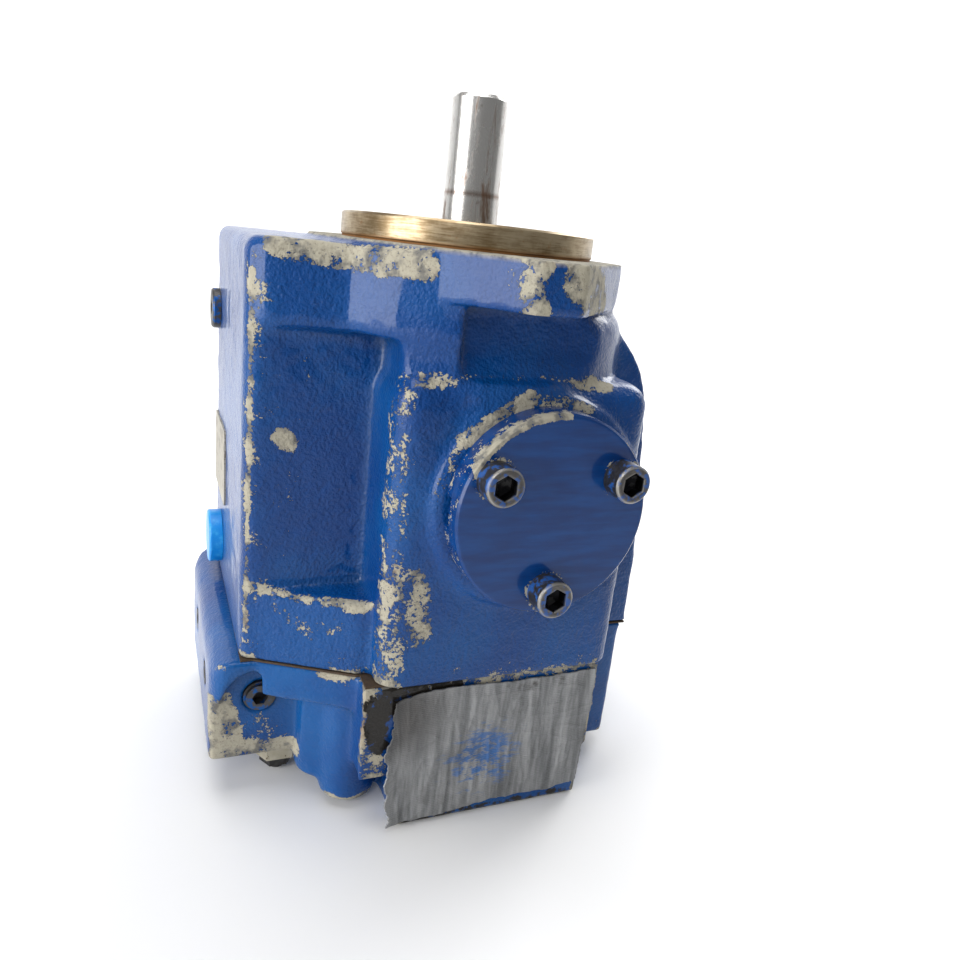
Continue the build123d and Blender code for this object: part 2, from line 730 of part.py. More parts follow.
# ---- shaft ----
with BuildPart() as shaft:
    with BuildSketch(Plane.XZ):
        with BuildLine():
            Polyline((0, shaft_end), (shaft_d / 2 - shaft_chamfer, shaft_end),
                     (shaft_d / 2, shaft_end - shaft_chamfer), (shaft_d / 2, seal_run_top),
                     (seal_run_r, seal_run_top), (seal_run_r, level(bearing_low + bearing_t + 2 * ring_t)),
                     (bearing_shaft_r, level(bearing_low + bearing_t + 2 * ring_t)),
                     (bearing_shaft_r, level(bearing_low)), (collar_r - collar_room, level(bearing_low)),
                     (collar_r - collar_room, level(bearing_low - collar_t)),
                     (mid_shaft_r, level(bearing_low - collar_t)),
                     (mid_shaft_r, level(spline_top)), (spline_root_r, level(spline_top)),
                     (spline_root_r, level(spline_low)), (rear_journal_r, level(spline_low)),
                     (rear_journal_r, level(rear_bush_low)), (0, level(rear_bush_low)), close=True)
        make_face()
    revolve(axis=Axis.Z)
    with BuildSketch(Plane.XY.offset(level(spline_low))):
        with PolarLocations(spline_root_r, spline_teeth):
            Rectangle(2 * (spline_tip_r - spline_root_r), spline_tooth)
    extrude(amount=spline_top - spline_low)
    # groove for the bearing's retaining ring, and the keyway
    with BuildSketch(Plane.XY.offset(level(bearing_low + bearing_t))):
        Circle(bearing_shaft_r)
        Circle(bearing_shaft_r - ring_depth / 2, mode=Mode.SUBTRACT)
    extrude(amount=ring_t, mode=Mode.SUBTRACT)
    with BuildSketch(Plane.XY.offset(shaft_end)):
        with PolarLocations(shaft_d / 2, 1, start_angle=keyway_angle):
            Rectangle(2 * keyway_depth, keyway_w)
    extrude(amount=-keyway_length, mode=Mode.SUBTRACT)
save(shaft.part, "shaft")

# ---- front bearing ----
groove = ball_r + fit_gap
for name, inner, outer in (("front_bearing_inner_race", bearing_shaft_r, bearing_shaft_r + race_t),
                           ("front_bearing_outer_race", bearing_bore_r - race_t, bearing_bore_r)):
    with BuildPart() as race:
        with BuildSketch(Plane.XZ):
            with Locations(((inner + outer) / 2, level(bearing_low + bearing_t / 2))):
                Rectangle(outer - inner, bearing_t)
            with Locations((ball_pitch_r, level(bearing_low + bearing_t / 2))):
                Circle(groove, mode=Mode.SUBTRACT)
        revolve(axis=Axis.Z)
    save(race.part, name)

with BuildPart() as bearing_balls:
    with Locations(*[(x, y, level(bearing_low + bearing_t / 2))
                     for x, y in ring_points(ball_count, ball_pitch_r)]):
        Sphere(ball_r)
save(bearing_balls.part, "bearing_balls")

with BuildPart() as bearing_cage:
    with BuildSketch(Plane.XY.offset(level(bearing_low + (bearing_t - cage_h) / 2))):
        Circle(ball_pitch_r + cage_t / 2)
        Circle(ball_pitch_r - cage_t / 2, mode=Mode.SUBTRACT)
    extrude(amount=cage_h)
    with Locations(*[(x, y, level(bearing_low + bearing_t / 2))
                     for x, y in ring_points(ball_count, ball_pitch_r)]):
        Sphere(ball_r + fit_gap, mode=Mode.SUBTRACT)
save(bearing_cage.part, "bearing_cage")

for name, low, inner, outer in (
        ("bearing_housing_ring", bearing_low - ring_t, bearing_bore_r - ring_depth,
         bearing_bore_r + ring_depth),
        ("bearing_shaft_ring", bearing_low + bearing_t, bearing_shaft_r - ring_depth / 2,
         bearing_shaft_r + ring_depth),
        ("seal_retaining_ring", case_height + seal_z + seal_t, seal_r - ring_depth, seal_r + ring_depth)):
    with BuildPart() as retaining_ring:
        with BuildSketch(Plane.XY.offset(level(low))):
            Circle(outer)
            Circle(inner, mode=Mode.SUBTRACT)
            with Locations((0, outer)):
                Rectangle(ring_gap, 2 * (outer - inner) + ring_gap, mode=Mode.SUBTRACT)
        extrude(amount=ring_t)
    save(retaining_ring.part, name)

# ---- shaft seal: a metal ring with a rubber lip ----
with BuildPart() as shaft_seal:
    with BuildSketch(Plane.XY.offset(seal_z)):
        Circle(seal_r)
        Circle(seal_run_r + fit_gap, mode=Mode.SUBTRACT)
    extrude(amount=seal_t)
    with BuildSketch(Plane.XY.offset(seal_z)):
        Circle(seal_r - seal_wall)
        Circle(seal_run_r + seal_wall, mode=Mode.SUBTRACT)
    extrude(amount=seal_t / 2, mode=Mode.SUBTRACT)
save(shaft_seal.part, "shaft_seal")

# ---- rear journal bush ----
with BuildPart() as rear_bearing_bush:
    with BuildSketch(Plane.XY.offset(level(rear_bush_low))):
        Circle(rear_bush_r)
        Circle(rear_journal_r + fit_gap, mode=Mode.SUBTRACT)
    extrude(amount=rear_bush_top - rear_bush_low)
save(rear_bearing_bush.part, "rear_bearing_bush")

# ---- valve plate ----
with BuildPart() as valve_plate:
    with BuildSketch(Plane.XY.offset(joint_z)):
        Circle(barrel_r)
        Circle(valve_plate_bore_r, mode=Mode.SUBTRACT)
        for arc in kidney_arcs:
            SlotArc(arc=arc, height=kidney_w, mode=Mode.SUBTRACT)
    extrude(amount=valve_plate_t)
save(valve_plate.part, "valve_plate")

# ---- cylinder barrel ----
with BuildPart() as cylinder_barrel:
    with BuildSketch(Plane.XY.offset(level(barrel_low))):
        Circle(barrel_r)
        Circle(barrel_relief_r, mode=Mode.SUBTRACT)
    extrude(amount=barrel_top - barrel_low)
    with BuildSketch(Plane.XY.offset(level(spring_bore_low - spline_engaged))):
        Circle(barrel_relief_r)
        Circle(spline_root_r + fit_gap, mode=Mode.SUBTRACT)
        with PolarLocations(spline_root_r, spline_teeth):
            Rectangle(2 * (spline_tip_r - spline_root_r + fit_gap), spline_tooth + 2 * fit_gap,
                      mode=Mode.SUBTRACT)
    extrude(amount=spline_engaged)
    with BuildSketch(Plane.XY.offset(level(spring_bore_low))):
        Circle(spring_bore_r)
    extrude(amount=barrel_top - spring_bore_low, mode=Mode.SUBTRACT)
    with BuildSketch(Plane.XY.offset(level(barrel_bore_low))):
        with PolarLocations(piston_pcr, piston_count):
            Circle(piston_r + fit_gap)
    extrude(amount=barrel_top - barrel_bore_low, mode=Mode.SUBTRACT)
    with BuildSketch(Plane.XY.offset(level(barrel_low))):
        with PolarLocations(piston_pcr, piston_count):
            Circle(barrel_port_r)
    extrude(amount=barrel_bore_low - barrel_low, mode=Mode.SUBTRACT)
save(cylinder_barrel.part, "cylinder_barrel")

# ---- pistons and their shoes ----
ball_z = level(trunnion_h)
shoe_face = ball_z + shoe_height
for number, (x, y) in enumerate(ring_points(piston_count, piston_pcr), start=1):
    with BuildPart() as piston:
        with BuildSketch(Plane.XY.offset(level(piston_low))):
            with Locations((x, y)):
                Circle(piston_r)
        extrude(amount=piston_top - piston_low)
        chamfer(piston.faces().sort_by(Axis.Z)[-1].edges(), piston_r - piston_neck_r - piston_shoulder)
        with BuildSketch(Plane.XY.offset(level(piston_top) - join)):
            with Locations((x, y)):
                Circle(piston_neck_r)
        extrude(amount=ball_z - level(piston_top) + join)
        with Locations((x, y, ball_z)):
            Sphere(piston_ball_r)
        with BuildSketch(Plane.XY.offset(level(piston_low))):
            with Locations((x, y)):
                Circle(piston_hollow_r)
        extrude(amount=piston_hollow_top - piston_low, mode=Mode.SUBTRACT)
    save(piston.part, f"piston_{number}")

    with BuildPart() as shoe:
        with BuildSketch(Plane.XY.offset(shoe_face - shoe_disc_t)):
            with Locations((x, y)):
                Circle(shoe_disc_r)
        extrude(amount=shoe_disc_t)
        with BuildSketch(Plane.XY.offset(ball_z + shoe_neck_low)):
            with Locations((x, y)):
                Circle(shoe_neck_r)
        extrude(amount=shoe_height - shoe_disc_t - shoe_neck_low)
        with Locations((x, y, ball_z)):
            Sphere(piston_ball_r + socket_gap, mode=Mode.SUBTRACT)
    save(shoe.part, f"shoe_{number}")

with BuildPart() as shoe_retainer:
    with BuildSketch(Plane.XY.offset(ball_z + retainer_low)):
        Circle(retainer_r)
        Circle(retainer_bore_r, mode=Mode.SUBTRACT)
        with PolarLocations(piston_pcr, piston_count):
            Circle(shoe_neck_r + retainer_gap, mode=Mode.SUBTRACT)
    extrude(amount=retainer_t)
save(shoe_retainer.part, "shoe_retainer")

# ---- hold down ball and the barrel spring under it ----
with BuildPart() as hold_down_ball:
    with Locations((0, 0, ball_z)):
        Sphere(hold_ball_r)
    split(bisect_by=Plane.XY.offset(ball_z + hold_ball_top), keep=Keep.BOTTOM)
    split(bisect_by=Plane.XY.offset(ball_z + hold_ball_low), keep=Keep.TOP)
    with BuildSketch(Plane.XY.offset(ball_z + hold_ball_low)):
        Circle(mid_shaft_r + fit_gap)
    extrude(amount=hold_ball_top - hold_ball_low, mode=Mode.SUBTRACT)
save(hold_down_ball.part, "hold_down_ball")
save(coil(barrel_spring_r, spring_wire, level(spring_bore_low), ball_z + hold_ball_low,
          barrel_spring_turns), "barrel_spring")

# ---- yoke and its wear plate ----
with BuildPart() as wear_plate:
    with BuildSketch(Plane.XY.offset(shoe_face + plate_gap)):
        Circle(retainer_r)
        Circle(wear_plate_bore_r, mode=Mode.SUBTRACT)
    extrude(amount=wear_plate_t)
save(wear_plate.part, "wear_plate")

yoke_low = shoe_face + plate_gap + wear_plate_t
with BuildPart() as yoke:
    with BuildSketch(Plane.XY.offset(yoke_low)):
        Circle(yoke_r)
    extrude(amount=yoke_t)
    # arms for the control piston and the bias spring
    for side in (-1, 1):
        with BuildSketch(Plane.XY.offset(ball_z + arm_low)):
            with Locations((side * (arm_reach + arm_root) / 2, 0)):
                Rectangle(arm_reach - arm_root, 2 * arm_half)
        extrude(amount=yoke_low + yoke_t - ball_z - arm_low)
    # cheeks down to the trunnion pins
    for side in (-1, 1):
        with BuildSketch(Plane.XY.offset(ball_z - cheek_low)):
            with Locations((trunnion_x, side * (cheek_inner + cheek_t / 2))):
                Rectangle(2 * cheek_half, cheek_t)
        extrude(amount=yoke_low + yoke_t - ball_z + cheek_low)
        with BuildSketch(Plane.XY.offset(yoke_low)):
            with Locations((trunnion_x, side * (cheek_inner + cheek_t) / 2)):
                Rectangle(2 * cheek_half, cheek_inner + cheek_t)
        extrude(amount=yoke_t)
        with BuildSketch(side_plane(trunnion_x, side * cheek_inner, ball_z, side)):
            Circle(trunnion_r)
        extrude(amount=trunnion_end - cheek_inner)
    # clear the shoes' ring and the shaft
    with BuildSketch(Plane.XY.offset(ball_z - cheek_low)):
        Circle(yoke_r)
    extrude(amount=yoke_low - ball_z + cheek_low, mode=Mode.SUBTRACT)
    with BuildSketch(Plane.XY.offset(yoke_low)):
        Circle(yoke_slot_r)
        with Locations((-yoke_slot_left, 0)):
            Circle(yoke_slot_r)
    extrude(amount=yoke_t, mode=Mode.SUBTRACT)
save(yoke.part, "yoke")

# ---- control piston and its sleeve ----
nose_z = ball_z + arm_low - nose_gap
with BuildPart() as control_sleeve:
    with BuildSketch(Plane.XY.offset(level(control_sleeve_low))):
        with Locations((control_x, 0)):
            Circle(control_sleeve_r)
            Circle(control_r + fit_gap, mode=Mode.SUBTRACT)
    extrude(amount=control_sleeve_top - control_sleeve_low)
save(control_sleeve.part, "control_sleeve")

with BuildPart() as control_piston:
    with BuildSketch(Plane.XY.offset(level(control_low))):
        with Locations((control_x, 0)):
            Circle(control_r)
    extrude(amount=nose_z - nose_r - nose_r - level(control_low))
    with BuildSketch(Plane.XY.offset(level(control_low))):
        with Locations((control_x, 0)):
            Circle(nose_r)
    extrude(amount=nose_z - nose_r - level(control_low))
    with Locations((control_x, 0, nose_z - nose_r)):
        Sphere(nose_r)
save(control_piston.part, "control_piston")

# ---- bias plunger and spring ----
bias_head_low = nose_z - nose_r - bias_head_t
with BuildPart() as bias_plunger:
    with BuildSketch(Plane.XY.offset(bias_head_low)):
        with Locations((bias_x, 0)):
            Circle(bias_head_r)
    extrude(amount=bias_head_t)
    with BuildSketch(Plane.XY.offset(bias_head_low - bias_guide_length)):
        with Locations((bias_x, 0)):
            Circle(bias_guide_r)
    extrude(amount=bias_guide_length)
    with Locations((bias_x, 0, nose_z - nose_r)):
        Sphere(nose_r)
save(bias_plunger.part, "bias_plunger")
save(coil(bias_spring_r, spring_wire, level(bias_spring_low), bias_head_low, bias_turns, bias_x),
     "bias_spring")

# ---- compensator ----
with BuildPart() as compensator_spool:
    with BuildSketch(Plane.XY.offset(level(comp_spool_low))):
        with Locations((comp_x, comp_y)):
            Circle(comp_neck_r)
    extrude(amount=comp_spool_top - comp_spool_low)
    for low in (comp_spool_low, (comp_spool_low + comp_spool_top - comp_land) / 2,
                comp_spool_top - comp_land):
        with BuildSketch(Plane.XY.offset(level(low))):
            with Locations((comp_x, comp_y)):
                Circle(comp_spool_r)
        extrude(amount=comp_land)
save(compensator_spool.part, "compensator_spool")
save(coil(comp_spring_r, comp_wire, level(comp_spring_low), level(comp_spool_low), comp_spring_turns,
          comp_x, comp_y), "compensator_spring")

with BuildPart() as compensator_housing:
    with BuildSketch(Plane.XY.offset(level(comp_housing_low))):
        with Locations((comp_x, comp_y)):
            RegularPolygon(comp_housing_r, 6, major_radius=False)
    extrude(amount=flank_low - comp_housing_low)
    with BuildSketch(Plane.XY.offset(level(comp_housing_low))):
        with Locations((comp_x, comp_y)):
            Circle(comp_chamber_r)
    extrude(amount=comp_chamber_top - comp_housing_low)
    with BuildSketch(Plane.XY.offset(level(comp_spring_low))):
        with Locations((comp_x, comp_y)):
            Circle(comp_spool_r + comp_wire)
    extrude(amount=comp_chamber_top - comp_spring_low, mode=Mode.SUBTRACT)
    with BuildSketch(Plane.XY.offset(level(comp_housing_low))):
        with Locations((comp_x, comp_y)):
            Circle(comp_screw_r + fit_gap)
    extrude(amount=comp_spring_low - comp_housing_low, mode=Mode.SUBTRACT)
save(compensator_housing.part, "compensator_housing")

with BuildPart() as compensator_screw:
    with BuildSketch(Plane.XY.offset(level(comp_screw_low))):
        with Locations((comp_x, comp_y)):
            Circle(comp_screw_r)
    extrude(amount=comp_spring_low - comp_screw_low)
    with BuildSketch(Plane.XY.offset(level(comp_screw_low))):
        with Locations((comp_x, comp_y)):
            RegularPolygon(comp_screw_hex / 2, 6, major_radius=False)
    extrude(amount=comp_screw_hex, mode=Mode.SUBTRACT)
save(compensator_screw.part, "compensator_screw")

with BuildPart() as compensator_lock_nut:
    with BuildSketch(Plane.XY.offset(level(comp_housing_low))):
        with Locations((comp_x, comp_y)):
            RegularPolygon(comp_nut_flat / 2, 6, major_radius=False)
            Circle(comp_screw_r + fit_gap, mode=Mode.SUBTRACT)
    extrude(amount=-comp_nut_t)
save(compensator_lock_nut.part, "compensator_lock_nut")

# ---- small pieces on the outside ----
with BuildPart() as corner_plug:
    with BuildSketch(side_plane(ear_pocket_x, flank_front + ear_pocket_depth, level(ear_pocket_h), -1)):
        Circle(plug_r)
    extrude(amount=-plug_length)
    with BuildSketch(side_plane(ear_pocket_x, flank_front + ear_pocket_depth, level(ear_pocket_h), -1)):
        Circle(plug_r - plug_step)
    extrude(amount=plug_proud)
    with BuildSketch(side_plane(ear_pocket_x, flank_front + ear_pocket_depth - plug_proud,
                                level(ear_pocket_h), -1)):
        RegularPolygon(plug_hex / 2, 6, major_radius=False)
    extrude(amount=-plug_hex_depth, mode=Mode.SUBTRACT)
save(corner_plug.part, "corner_plug")

with BuildPart() as flank_plugs:
    for y in flank_plug_y:
        with BuildSketch(Plane(origin=(flank_left, y, level(flank_plug_h)), z_dir=(-1, 0, 0))):
            Circle(flank_plug_r)
        extrude(amount=-flank_plug_length)
        with BuildSketch(Plane(origin=(flank_left, y, level(flank_plug_h)), z_dir=(-1, 0, 0))):
            RegularPolygon(flank_plug_r / 2, 6, major_radius=False)
        extrude(amount=-flank_plug_length / 2, mode=Mode.SUBTRACT)
save(flank_plugs.part, "flank_plugs")

with BuildPart() as drain_cap:
    with BuildSketch(Plane(origin=(case_left, drain_y, level(drain_h)), z_dir=(-1, 0, 0))):
        Circle(drain_cap_r)
    extrude(amount=drain_cap_t)
    fillet(drain_cap.faces().sort_by(Axis.X)[0].edges(), drain_cap_edge)
    with BuildSketch(Plane(origin=(case_left, drain_y, level(drain_h)), z_dir=(-1, 0, 0))):
        Circle(drain_spigot_r - fit_gap)
        Circle(drain_spigot_r - drain_cap_wall, mode=Mode.SUBTRACT)
    extrude(amount=-(drain_depth - drain_cap_room))
save(drain_cap.part, "drain_cap")

with BuildPart() as case_plug:
    with BuildSketch(Plane(origin=(case_left, case_plug_y, level(case_plug_h)), z_dir=(-1, 0, 0))):
        Circle(case_plug_r)
    extrude(amount=case_plug_t)
    chamfer(case_plug.faces().sort_by(Axis.X)[0].edges(), case_plug_edge)
    with BuildSketch(Plane(origin=(case_left, case_plug_y, level(case_plug_h)), z_dir=(-1, 0, 0))):
        Circle(case_plug_r - case_plug_step)
    extrude(amount=-drain_depth)
    with BuildSketch(Plane(origin=(case_left - case_plug_t, case_plug_y, level(case_plug_h)),
                           z_dir=(-1, 0, 0))):
        RegularPolygon(plug_hex / 2, 6, major_radius=False)
    extrude(amount=-plug_hex_depth, mode=Mode.SUBTRACT)
save(case_plug.part, "case_plug")

with BuildPart() as name_plate:
    with BuildSketch(Plane(origin=(case_left, sum(name_y) / 2, level(sum(name_h) / 2)), x_dir=(0, -1, 0),
                           z_dir=(-1, 0, 0))):
        RectangleRounded(name_y[1] - name_y[0], name_h[1] - name_h[0], name_corner)
    extrude(amount=name_t)
save(name_plate.part, "name_plate")

with BuildPart() as inlet_tape:
    with BuildSketch(side_plane((tape_left + tape_right) / 2, -pad_y, level((tape_top + tape_low) / 2), -1)):
        Rectangle(tape_right - tape_left, tape_top - tape_low)
    extrude(amount=tape_t)
save(inlet_tape.part, "inlet_tape")
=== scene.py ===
import json
import math

import bmesh
import bpy
import numpy as np
from mathutils import Matrix, Vector, noise


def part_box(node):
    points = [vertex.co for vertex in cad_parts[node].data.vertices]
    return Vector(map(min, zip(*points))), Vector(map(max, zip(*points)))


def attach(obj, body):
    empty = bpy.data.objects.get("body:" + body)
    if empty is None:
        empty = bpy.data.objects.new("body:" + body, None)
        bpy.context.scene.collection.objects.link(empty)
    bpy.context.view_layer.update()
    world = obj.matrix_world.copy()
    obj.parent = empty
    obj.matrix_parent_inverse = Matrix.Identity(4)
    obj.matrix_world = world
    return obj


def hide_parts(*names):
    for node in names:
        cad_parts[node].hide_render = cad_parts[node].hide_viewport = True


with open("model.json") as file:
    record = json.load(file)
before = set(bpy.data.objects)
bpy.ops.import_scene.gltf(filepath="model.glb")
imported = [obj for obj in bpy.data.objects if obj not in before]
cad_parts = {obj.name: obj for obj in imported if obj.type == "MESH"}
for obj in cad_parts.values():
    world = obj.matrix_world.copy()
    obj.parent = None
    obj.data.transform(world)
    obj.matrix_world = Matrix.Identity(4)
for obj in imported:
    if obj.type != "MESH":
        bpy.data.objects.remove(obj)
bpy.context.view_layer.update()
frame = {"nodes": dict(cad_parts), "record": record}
scene = bpy.context.scene

# ---- the case ----
# A sand cast iron case, painted blue over its rough skin. The cast faces run into each other
# through soft fillets; only the mounting face, the bores and the joint face are machined.
CAST_VOXEL = 0.0012
CAST_ROUNDS = 14
CAST_BLUE = (0.0006, 0.042, 0.190, 1.0)
CAST_BLUE_LIGHT = (0.0015, 0.085, 0.290, 1.0)
PRIMER = (0.40, 0.37, 0.29, 1.0)
BARE_IRON = (0.17, 0.165, 0.15, 1.0)
RUST = (0.20, 0.085, 0.03, 1.0)
case_low, case_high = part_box("case")


def new_piece(name, mesh, material, body, slot, *nodes):
    """Puts a finished mesh in the scene as a piece that rides on a body."""
    piece = bpy.data.objects.new(name, mesh)
    scene.collection.objects.link(piece)
    mesh.materials.clear()
    mesh.materials.append(material)
    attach(piece, body)
    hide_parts(*nodes)
    return piece


def ramp(value, low, high):
    """0 below low, 1 above high, and smooth between them."""
    t = np.clip((value - low) / (high - low), 0.0, 1.0)
    return t * t * (3.0 - 2.0 * t)


def near_stroke(points, start, end, reach):
    """1 on the line from start to end, falling to 0 at reach from it."""
    a, b = np.array(start), np.array(end)
    along = b - a
    share = np.clip(((points - a) @ along) / max(along @ along, 1e-12), 0.0, 1.0)
    gap = np.linalg.norm(points - (a + share[:, None] * along), axis=1)
    return 1.0 - ramp(gap, 0.35 * reach, reach)


def set_mask(mesh, name, values):
    layer = mesh.attributes.new(name, "FLOAT", "POINT")
    layer.data.foreach_set("value", values.astype(np.float32))


def cast_mesh(node, name, flatten_above=None):
    """A casting's mesh: the machined shape remeshed evenly, ready to be softened."""
    source = frame["nodes"][node].data.copy()
    points = np.empty(len(source.vertices) * 3)
    source.vertices.foreach_get("co", points)
    points = points.reshape(-1, 3)
    if flatten_above is not None:
        points[:, 2] = np.minimum(points[:, 2], flatten_above)
        source.vertices.foreach_set("co", points.ravel())
    rough = bpy.data.objects.new(name + "_rough", source)
    scene.collection.objects.link(rough)
    remesh = rough.modifiers.new("even", "REMESH")
    remesh.mode = "VOXEL"
    remesh.voxel_size = CAST_VOXEL
    graph = bpy.context.evaluated_depsgraph_get()
    mesh = bpy.data.meshes.new_from_object(rough.evaluated_get(graph))
    mesh.name = name
    bpy.data.objects.remove(rough)
    return mesh


def mesh_points(mesh):
    points = np.empty(len(mesh.vertices) * 3)
    mesh.vertices.foreach_get("co", points)
    return points.reshape(-1, 3)


def mesh_normals(mesh):
    normals = np.empty(len(mesh.vertices) * 3)
    mesh.vertex_normals.foreach_get("vector", normals)
    return normals.reshape(-1, 3)


def neighbour_mean(edges, count, values):
    """Each vertex's neighbours, averaged."""
    total = np.zeros_like(values)
    number = np.bincount(edges.ravel(), minlength=count)
    for axis in range(values.shape[1]):
        total[:, axis] = np.bincount(edges[:, 0], values[edges[:, 1], axis], count)
        total[:, axis] += np.bincount(edges[:, 1], values[edges[:, 0], axis], count)
    return total / np.maximum(number, 1)[:, None]


def soften(mesh, freedom, rounds):
    """Rounds a casting's edges and fills its corners, but for where freedom is 0."""
    edges = np.empty(len(mesh.edges) * 2, np.int64)
    mesh.edges.foreach_get("vertices", edges)
    edges = edges.reshape(-1, 2)
    points = mesh_points(mesh)
    share = 0.5 * freedom[:, None]
    for _ in range(rounds):
        points += share * (neighbour_mean(edges, len(points), points) - points)
    mesh.vertices.foreach_set("co", points.ravel())
    mesh.update()
    normals = mesh_normals(mesh)
    bend = neighbour_mean(edges, len(points), points) - points
    curve = -4.0 * np.einsum("ij,ij->i", bend, normals) / CAST_VOXEL**2
    curve = curve[:, None]
    for _ in range(6):
        curve = neighbour_mean(edges, len(points), curve)
    return curve[:, 0]


def lumpy(mesh, freedom, height):
    """The uneven skin that a sand mould leaves, in the mesh itself."""
    points, normals = mesh_points(mesh), mesh_normals(mesh)
    wave = np.array(
        [
            noise.noise(Vector(p) * 95.0) + 0.55 * noise.noise(Vector(p) * 240.0)
            for p in points
        ]
    )
    points += (height * freedom * wave)[:, None] * normals
    mesh.vertices.foreach_set("co", points.ravel())
    mesh.update()


def add_node(tree, kind, links=(), **settings):
    """A shader node, its settings, and its inputs by name or number."""
    node = tree.nodes.new(kind)
    inputs = settings.pop("inputs", {})
    for key, value in settings.items():
        setattr(node, key, value)
    for key, value in inputs.items():
        if isinstance(value, bpy.types.NodeSocket):
            tree.links.new(value, node.inputs[key])
        else:
            node.inputs[key].default_value = value
    return node


def math_node(tree, operation, first, second=0.0, clamp=False):
    node = add_node(
        tree,
        "ShaderNodeMath",
        operation=operation,
        use_clamp=clamp,
        inputs={0: first, 1: second},
    )
    return node.outputs[0]


def object_place(tree):
    """Where a point lies in the piece's own frame, in metres."""
    return tree.nodes.new("ShaderNodeTexCoord").outputs["Object"]


def stretched(tree, place, scale):
    """A place scaled by a different number along each axis."""
    node = add_node(tree, "ShaderNodeVectorMath", operation="MULTIPLY", inputs={0: place, 1: scale})
    return node.outputs[0]


def scaled(tree, value, gain, lift=0.0):
    """A value times a gain, plus a lift."""
    product = math_node(tree, "MULTIPLY", value, gain)
    return math_node(tree, "ADD", lift, product) if lift else product


def rest_of(tree, value):
    """What is left of 1 when a share is taken away."""
    return math_node(tree, "SUBTRACT", 1.0, value, True)


def smooth_between(tree, value, low, high):
    node = add_node(
        tree,
        "ShaderNodeMapRange",
        interpolation_type="SMOOTHSTEP",
        inputs={"Value": value, "From Min": low, "From Max": high},
    )
    return node.outputs[0]


def mix_colour(tree, share, first, second):
    node = add_node(
        tree,
        "ShaderNodeMix",
        data_type="RGBA",
        inputs={0: share, 6: first, 7: second},
    )
    return node.outputs[2]


def noise_node(tree, place, scale, detail=2.0, rough=0.5, warp=0.0):
    node = add_node(
        tree,
        "ShaderNodeTexNoise",
        inputs={
            "Vector": place,
            "Scale": scale,
            "Detail": detail,
            "Roughness": rough,
            "Distortion": warp,
        },
    )
    return node.outputs[0]


def new_group(name, inputs, outputs):
    """An empty shader node group with named number inputs, and named outputs."""
    group = bpy.data.node_groups.new(name, "ShaderNodeTree")
    for label, value in inputs:
        socket = group.interface.new_socket(
            label, in_out="INPUT", socket_type="NodeSocketFloat"
        )
        socket.default_value = value
    for label, kind in outputs:
        group.interface.new_socket(label, in_out="OUTPUT", socket_type=kind)
    start = group.nodes.new("NodeGroupInput")
    end = group.nodes.new("NodeGroupOutput")
    return group, start, end


def place_group(tree, group, **values):
    node = tree.nodes.new("ShaderNodeGroup")
    node.node_tree = group
    for key, value in values.items():
        if isinstance(value, bpy.types.NodeSocket):
            tree.links.new(value, node.inputs[key])
        else:
            node.inputs[key].default_value = value
    return node


def new_material(name, **settings):
    """A material with one Principled shader, and the tree to build on."""
    material = bpy.data.materials.new(name)
    material.use_nodes = True
    tree = material.node_tree
    shader = next(n for n in tree.nodes if n.type == "BSDF_PRINCIPLED")
    for key, value in settings.items():
        shader.inputs[key.replace("_", " ")].default_value = value
    return material, tree, shader


def bump_into(tree, shader, height, distance, strength=1.0):
    bump = add_node(
        tree,
        "ShaderNodeBump",
        inputs={"Height": height, "Distance": distance, "Strength": strength},
    )
    tree.links.new(bump.outputs[0], shader.inputs["Normal"])


# cast skin: the orange peel of paint over sand cast iron
cast_skin, skin_in, skin_out = new_group(
    "cast_skin",
    [("Peel", 820.0), ("Lumps", 300.0), ("Lump Share", 0.7)],
    [("Height", "NodeSocketFloat")],
)
tree = cast_skin
place = object_place(tree)
peel = noise_node(tree, place, skin_in.outputs["Peel"], 2.0, 0.45)
lumps = noise_node(tree, place, skin_in.outputs["Lumps"], 1.0, 0.4)
lump_height = math_node(tree, "MULTIPLY", lumps, skin_in.outputs["Lump Share"])
tree.links.new(math_node(tree, "ADD", peel, lump_height), skin_out.inputs["Height"])

# chipping: where worn paint has come off, a thin dark rim round each chip as painted shadow, and stains
chipping, chip_in, chip_out = new_group(
    "chipping",
    [("Wear", 0.0), ("Size", 130.0), ("Level", 0.80)],
    [
        ("Chipped", "NodeSocketFloat"),
        ("Rim Shadow", "NodeSocketFloat"),
        ("Primer Share", "NodeSocketFloat"),
        ("Stain", "NodeSocketFloat"),
    ],
)
tree = chipping
place = object_place(tree)
patches = noise_node(tree, place, chip_in.outputs["Size"], 7.0, 0.72, 0.3)
fine_size = scaled(tree, chip_in.outputs["Size"], 6.5)
specks = noise_node(tree, place, fine_size, 3.0, 0.6)
both = math_node(tree, "ADD", scaled(tree, patches, 0.62),
                 scaled(tree, specks, 0.38))
worn = scaled(tree, chip_in.outputs["Wear"], 0.36)
line = math_node(tree, "SUBTRACT", chip_in.outputs["Level"], worn)
over = math_node(tree, "SUBTRACT", both, line)
chipped = smooth_between(tree, over, -0.006, 0.006)
tree.links.new(chipped, chip_out.inputs["Chipped"])
# painted shadow: a thin dark rim just outside each chip's edge
painted_rim_shading = math_node(tree, "SUBTRACT", smooth_between(tree, over, -0.030, -0.008), chipped, True)
tree.links.new(painted_rim_shading, chip_out.inputs["Rim Shadow"])
primer_noise = noise_node(tree, place, chip_in.outputs["Size"], 3.0, 0.6)
tree.links.new(smooth_between(tree, primer_noise, 0.40, 0.56), chip_out.inputs["Primer Share"])
stain_noise = noise_node(tree, place, 38.0, 4.0, 0.6)
tree.links.new(smooth_between(tree, stain_noise, 0.58, 0.78), chip_out.inputs["Stain"])


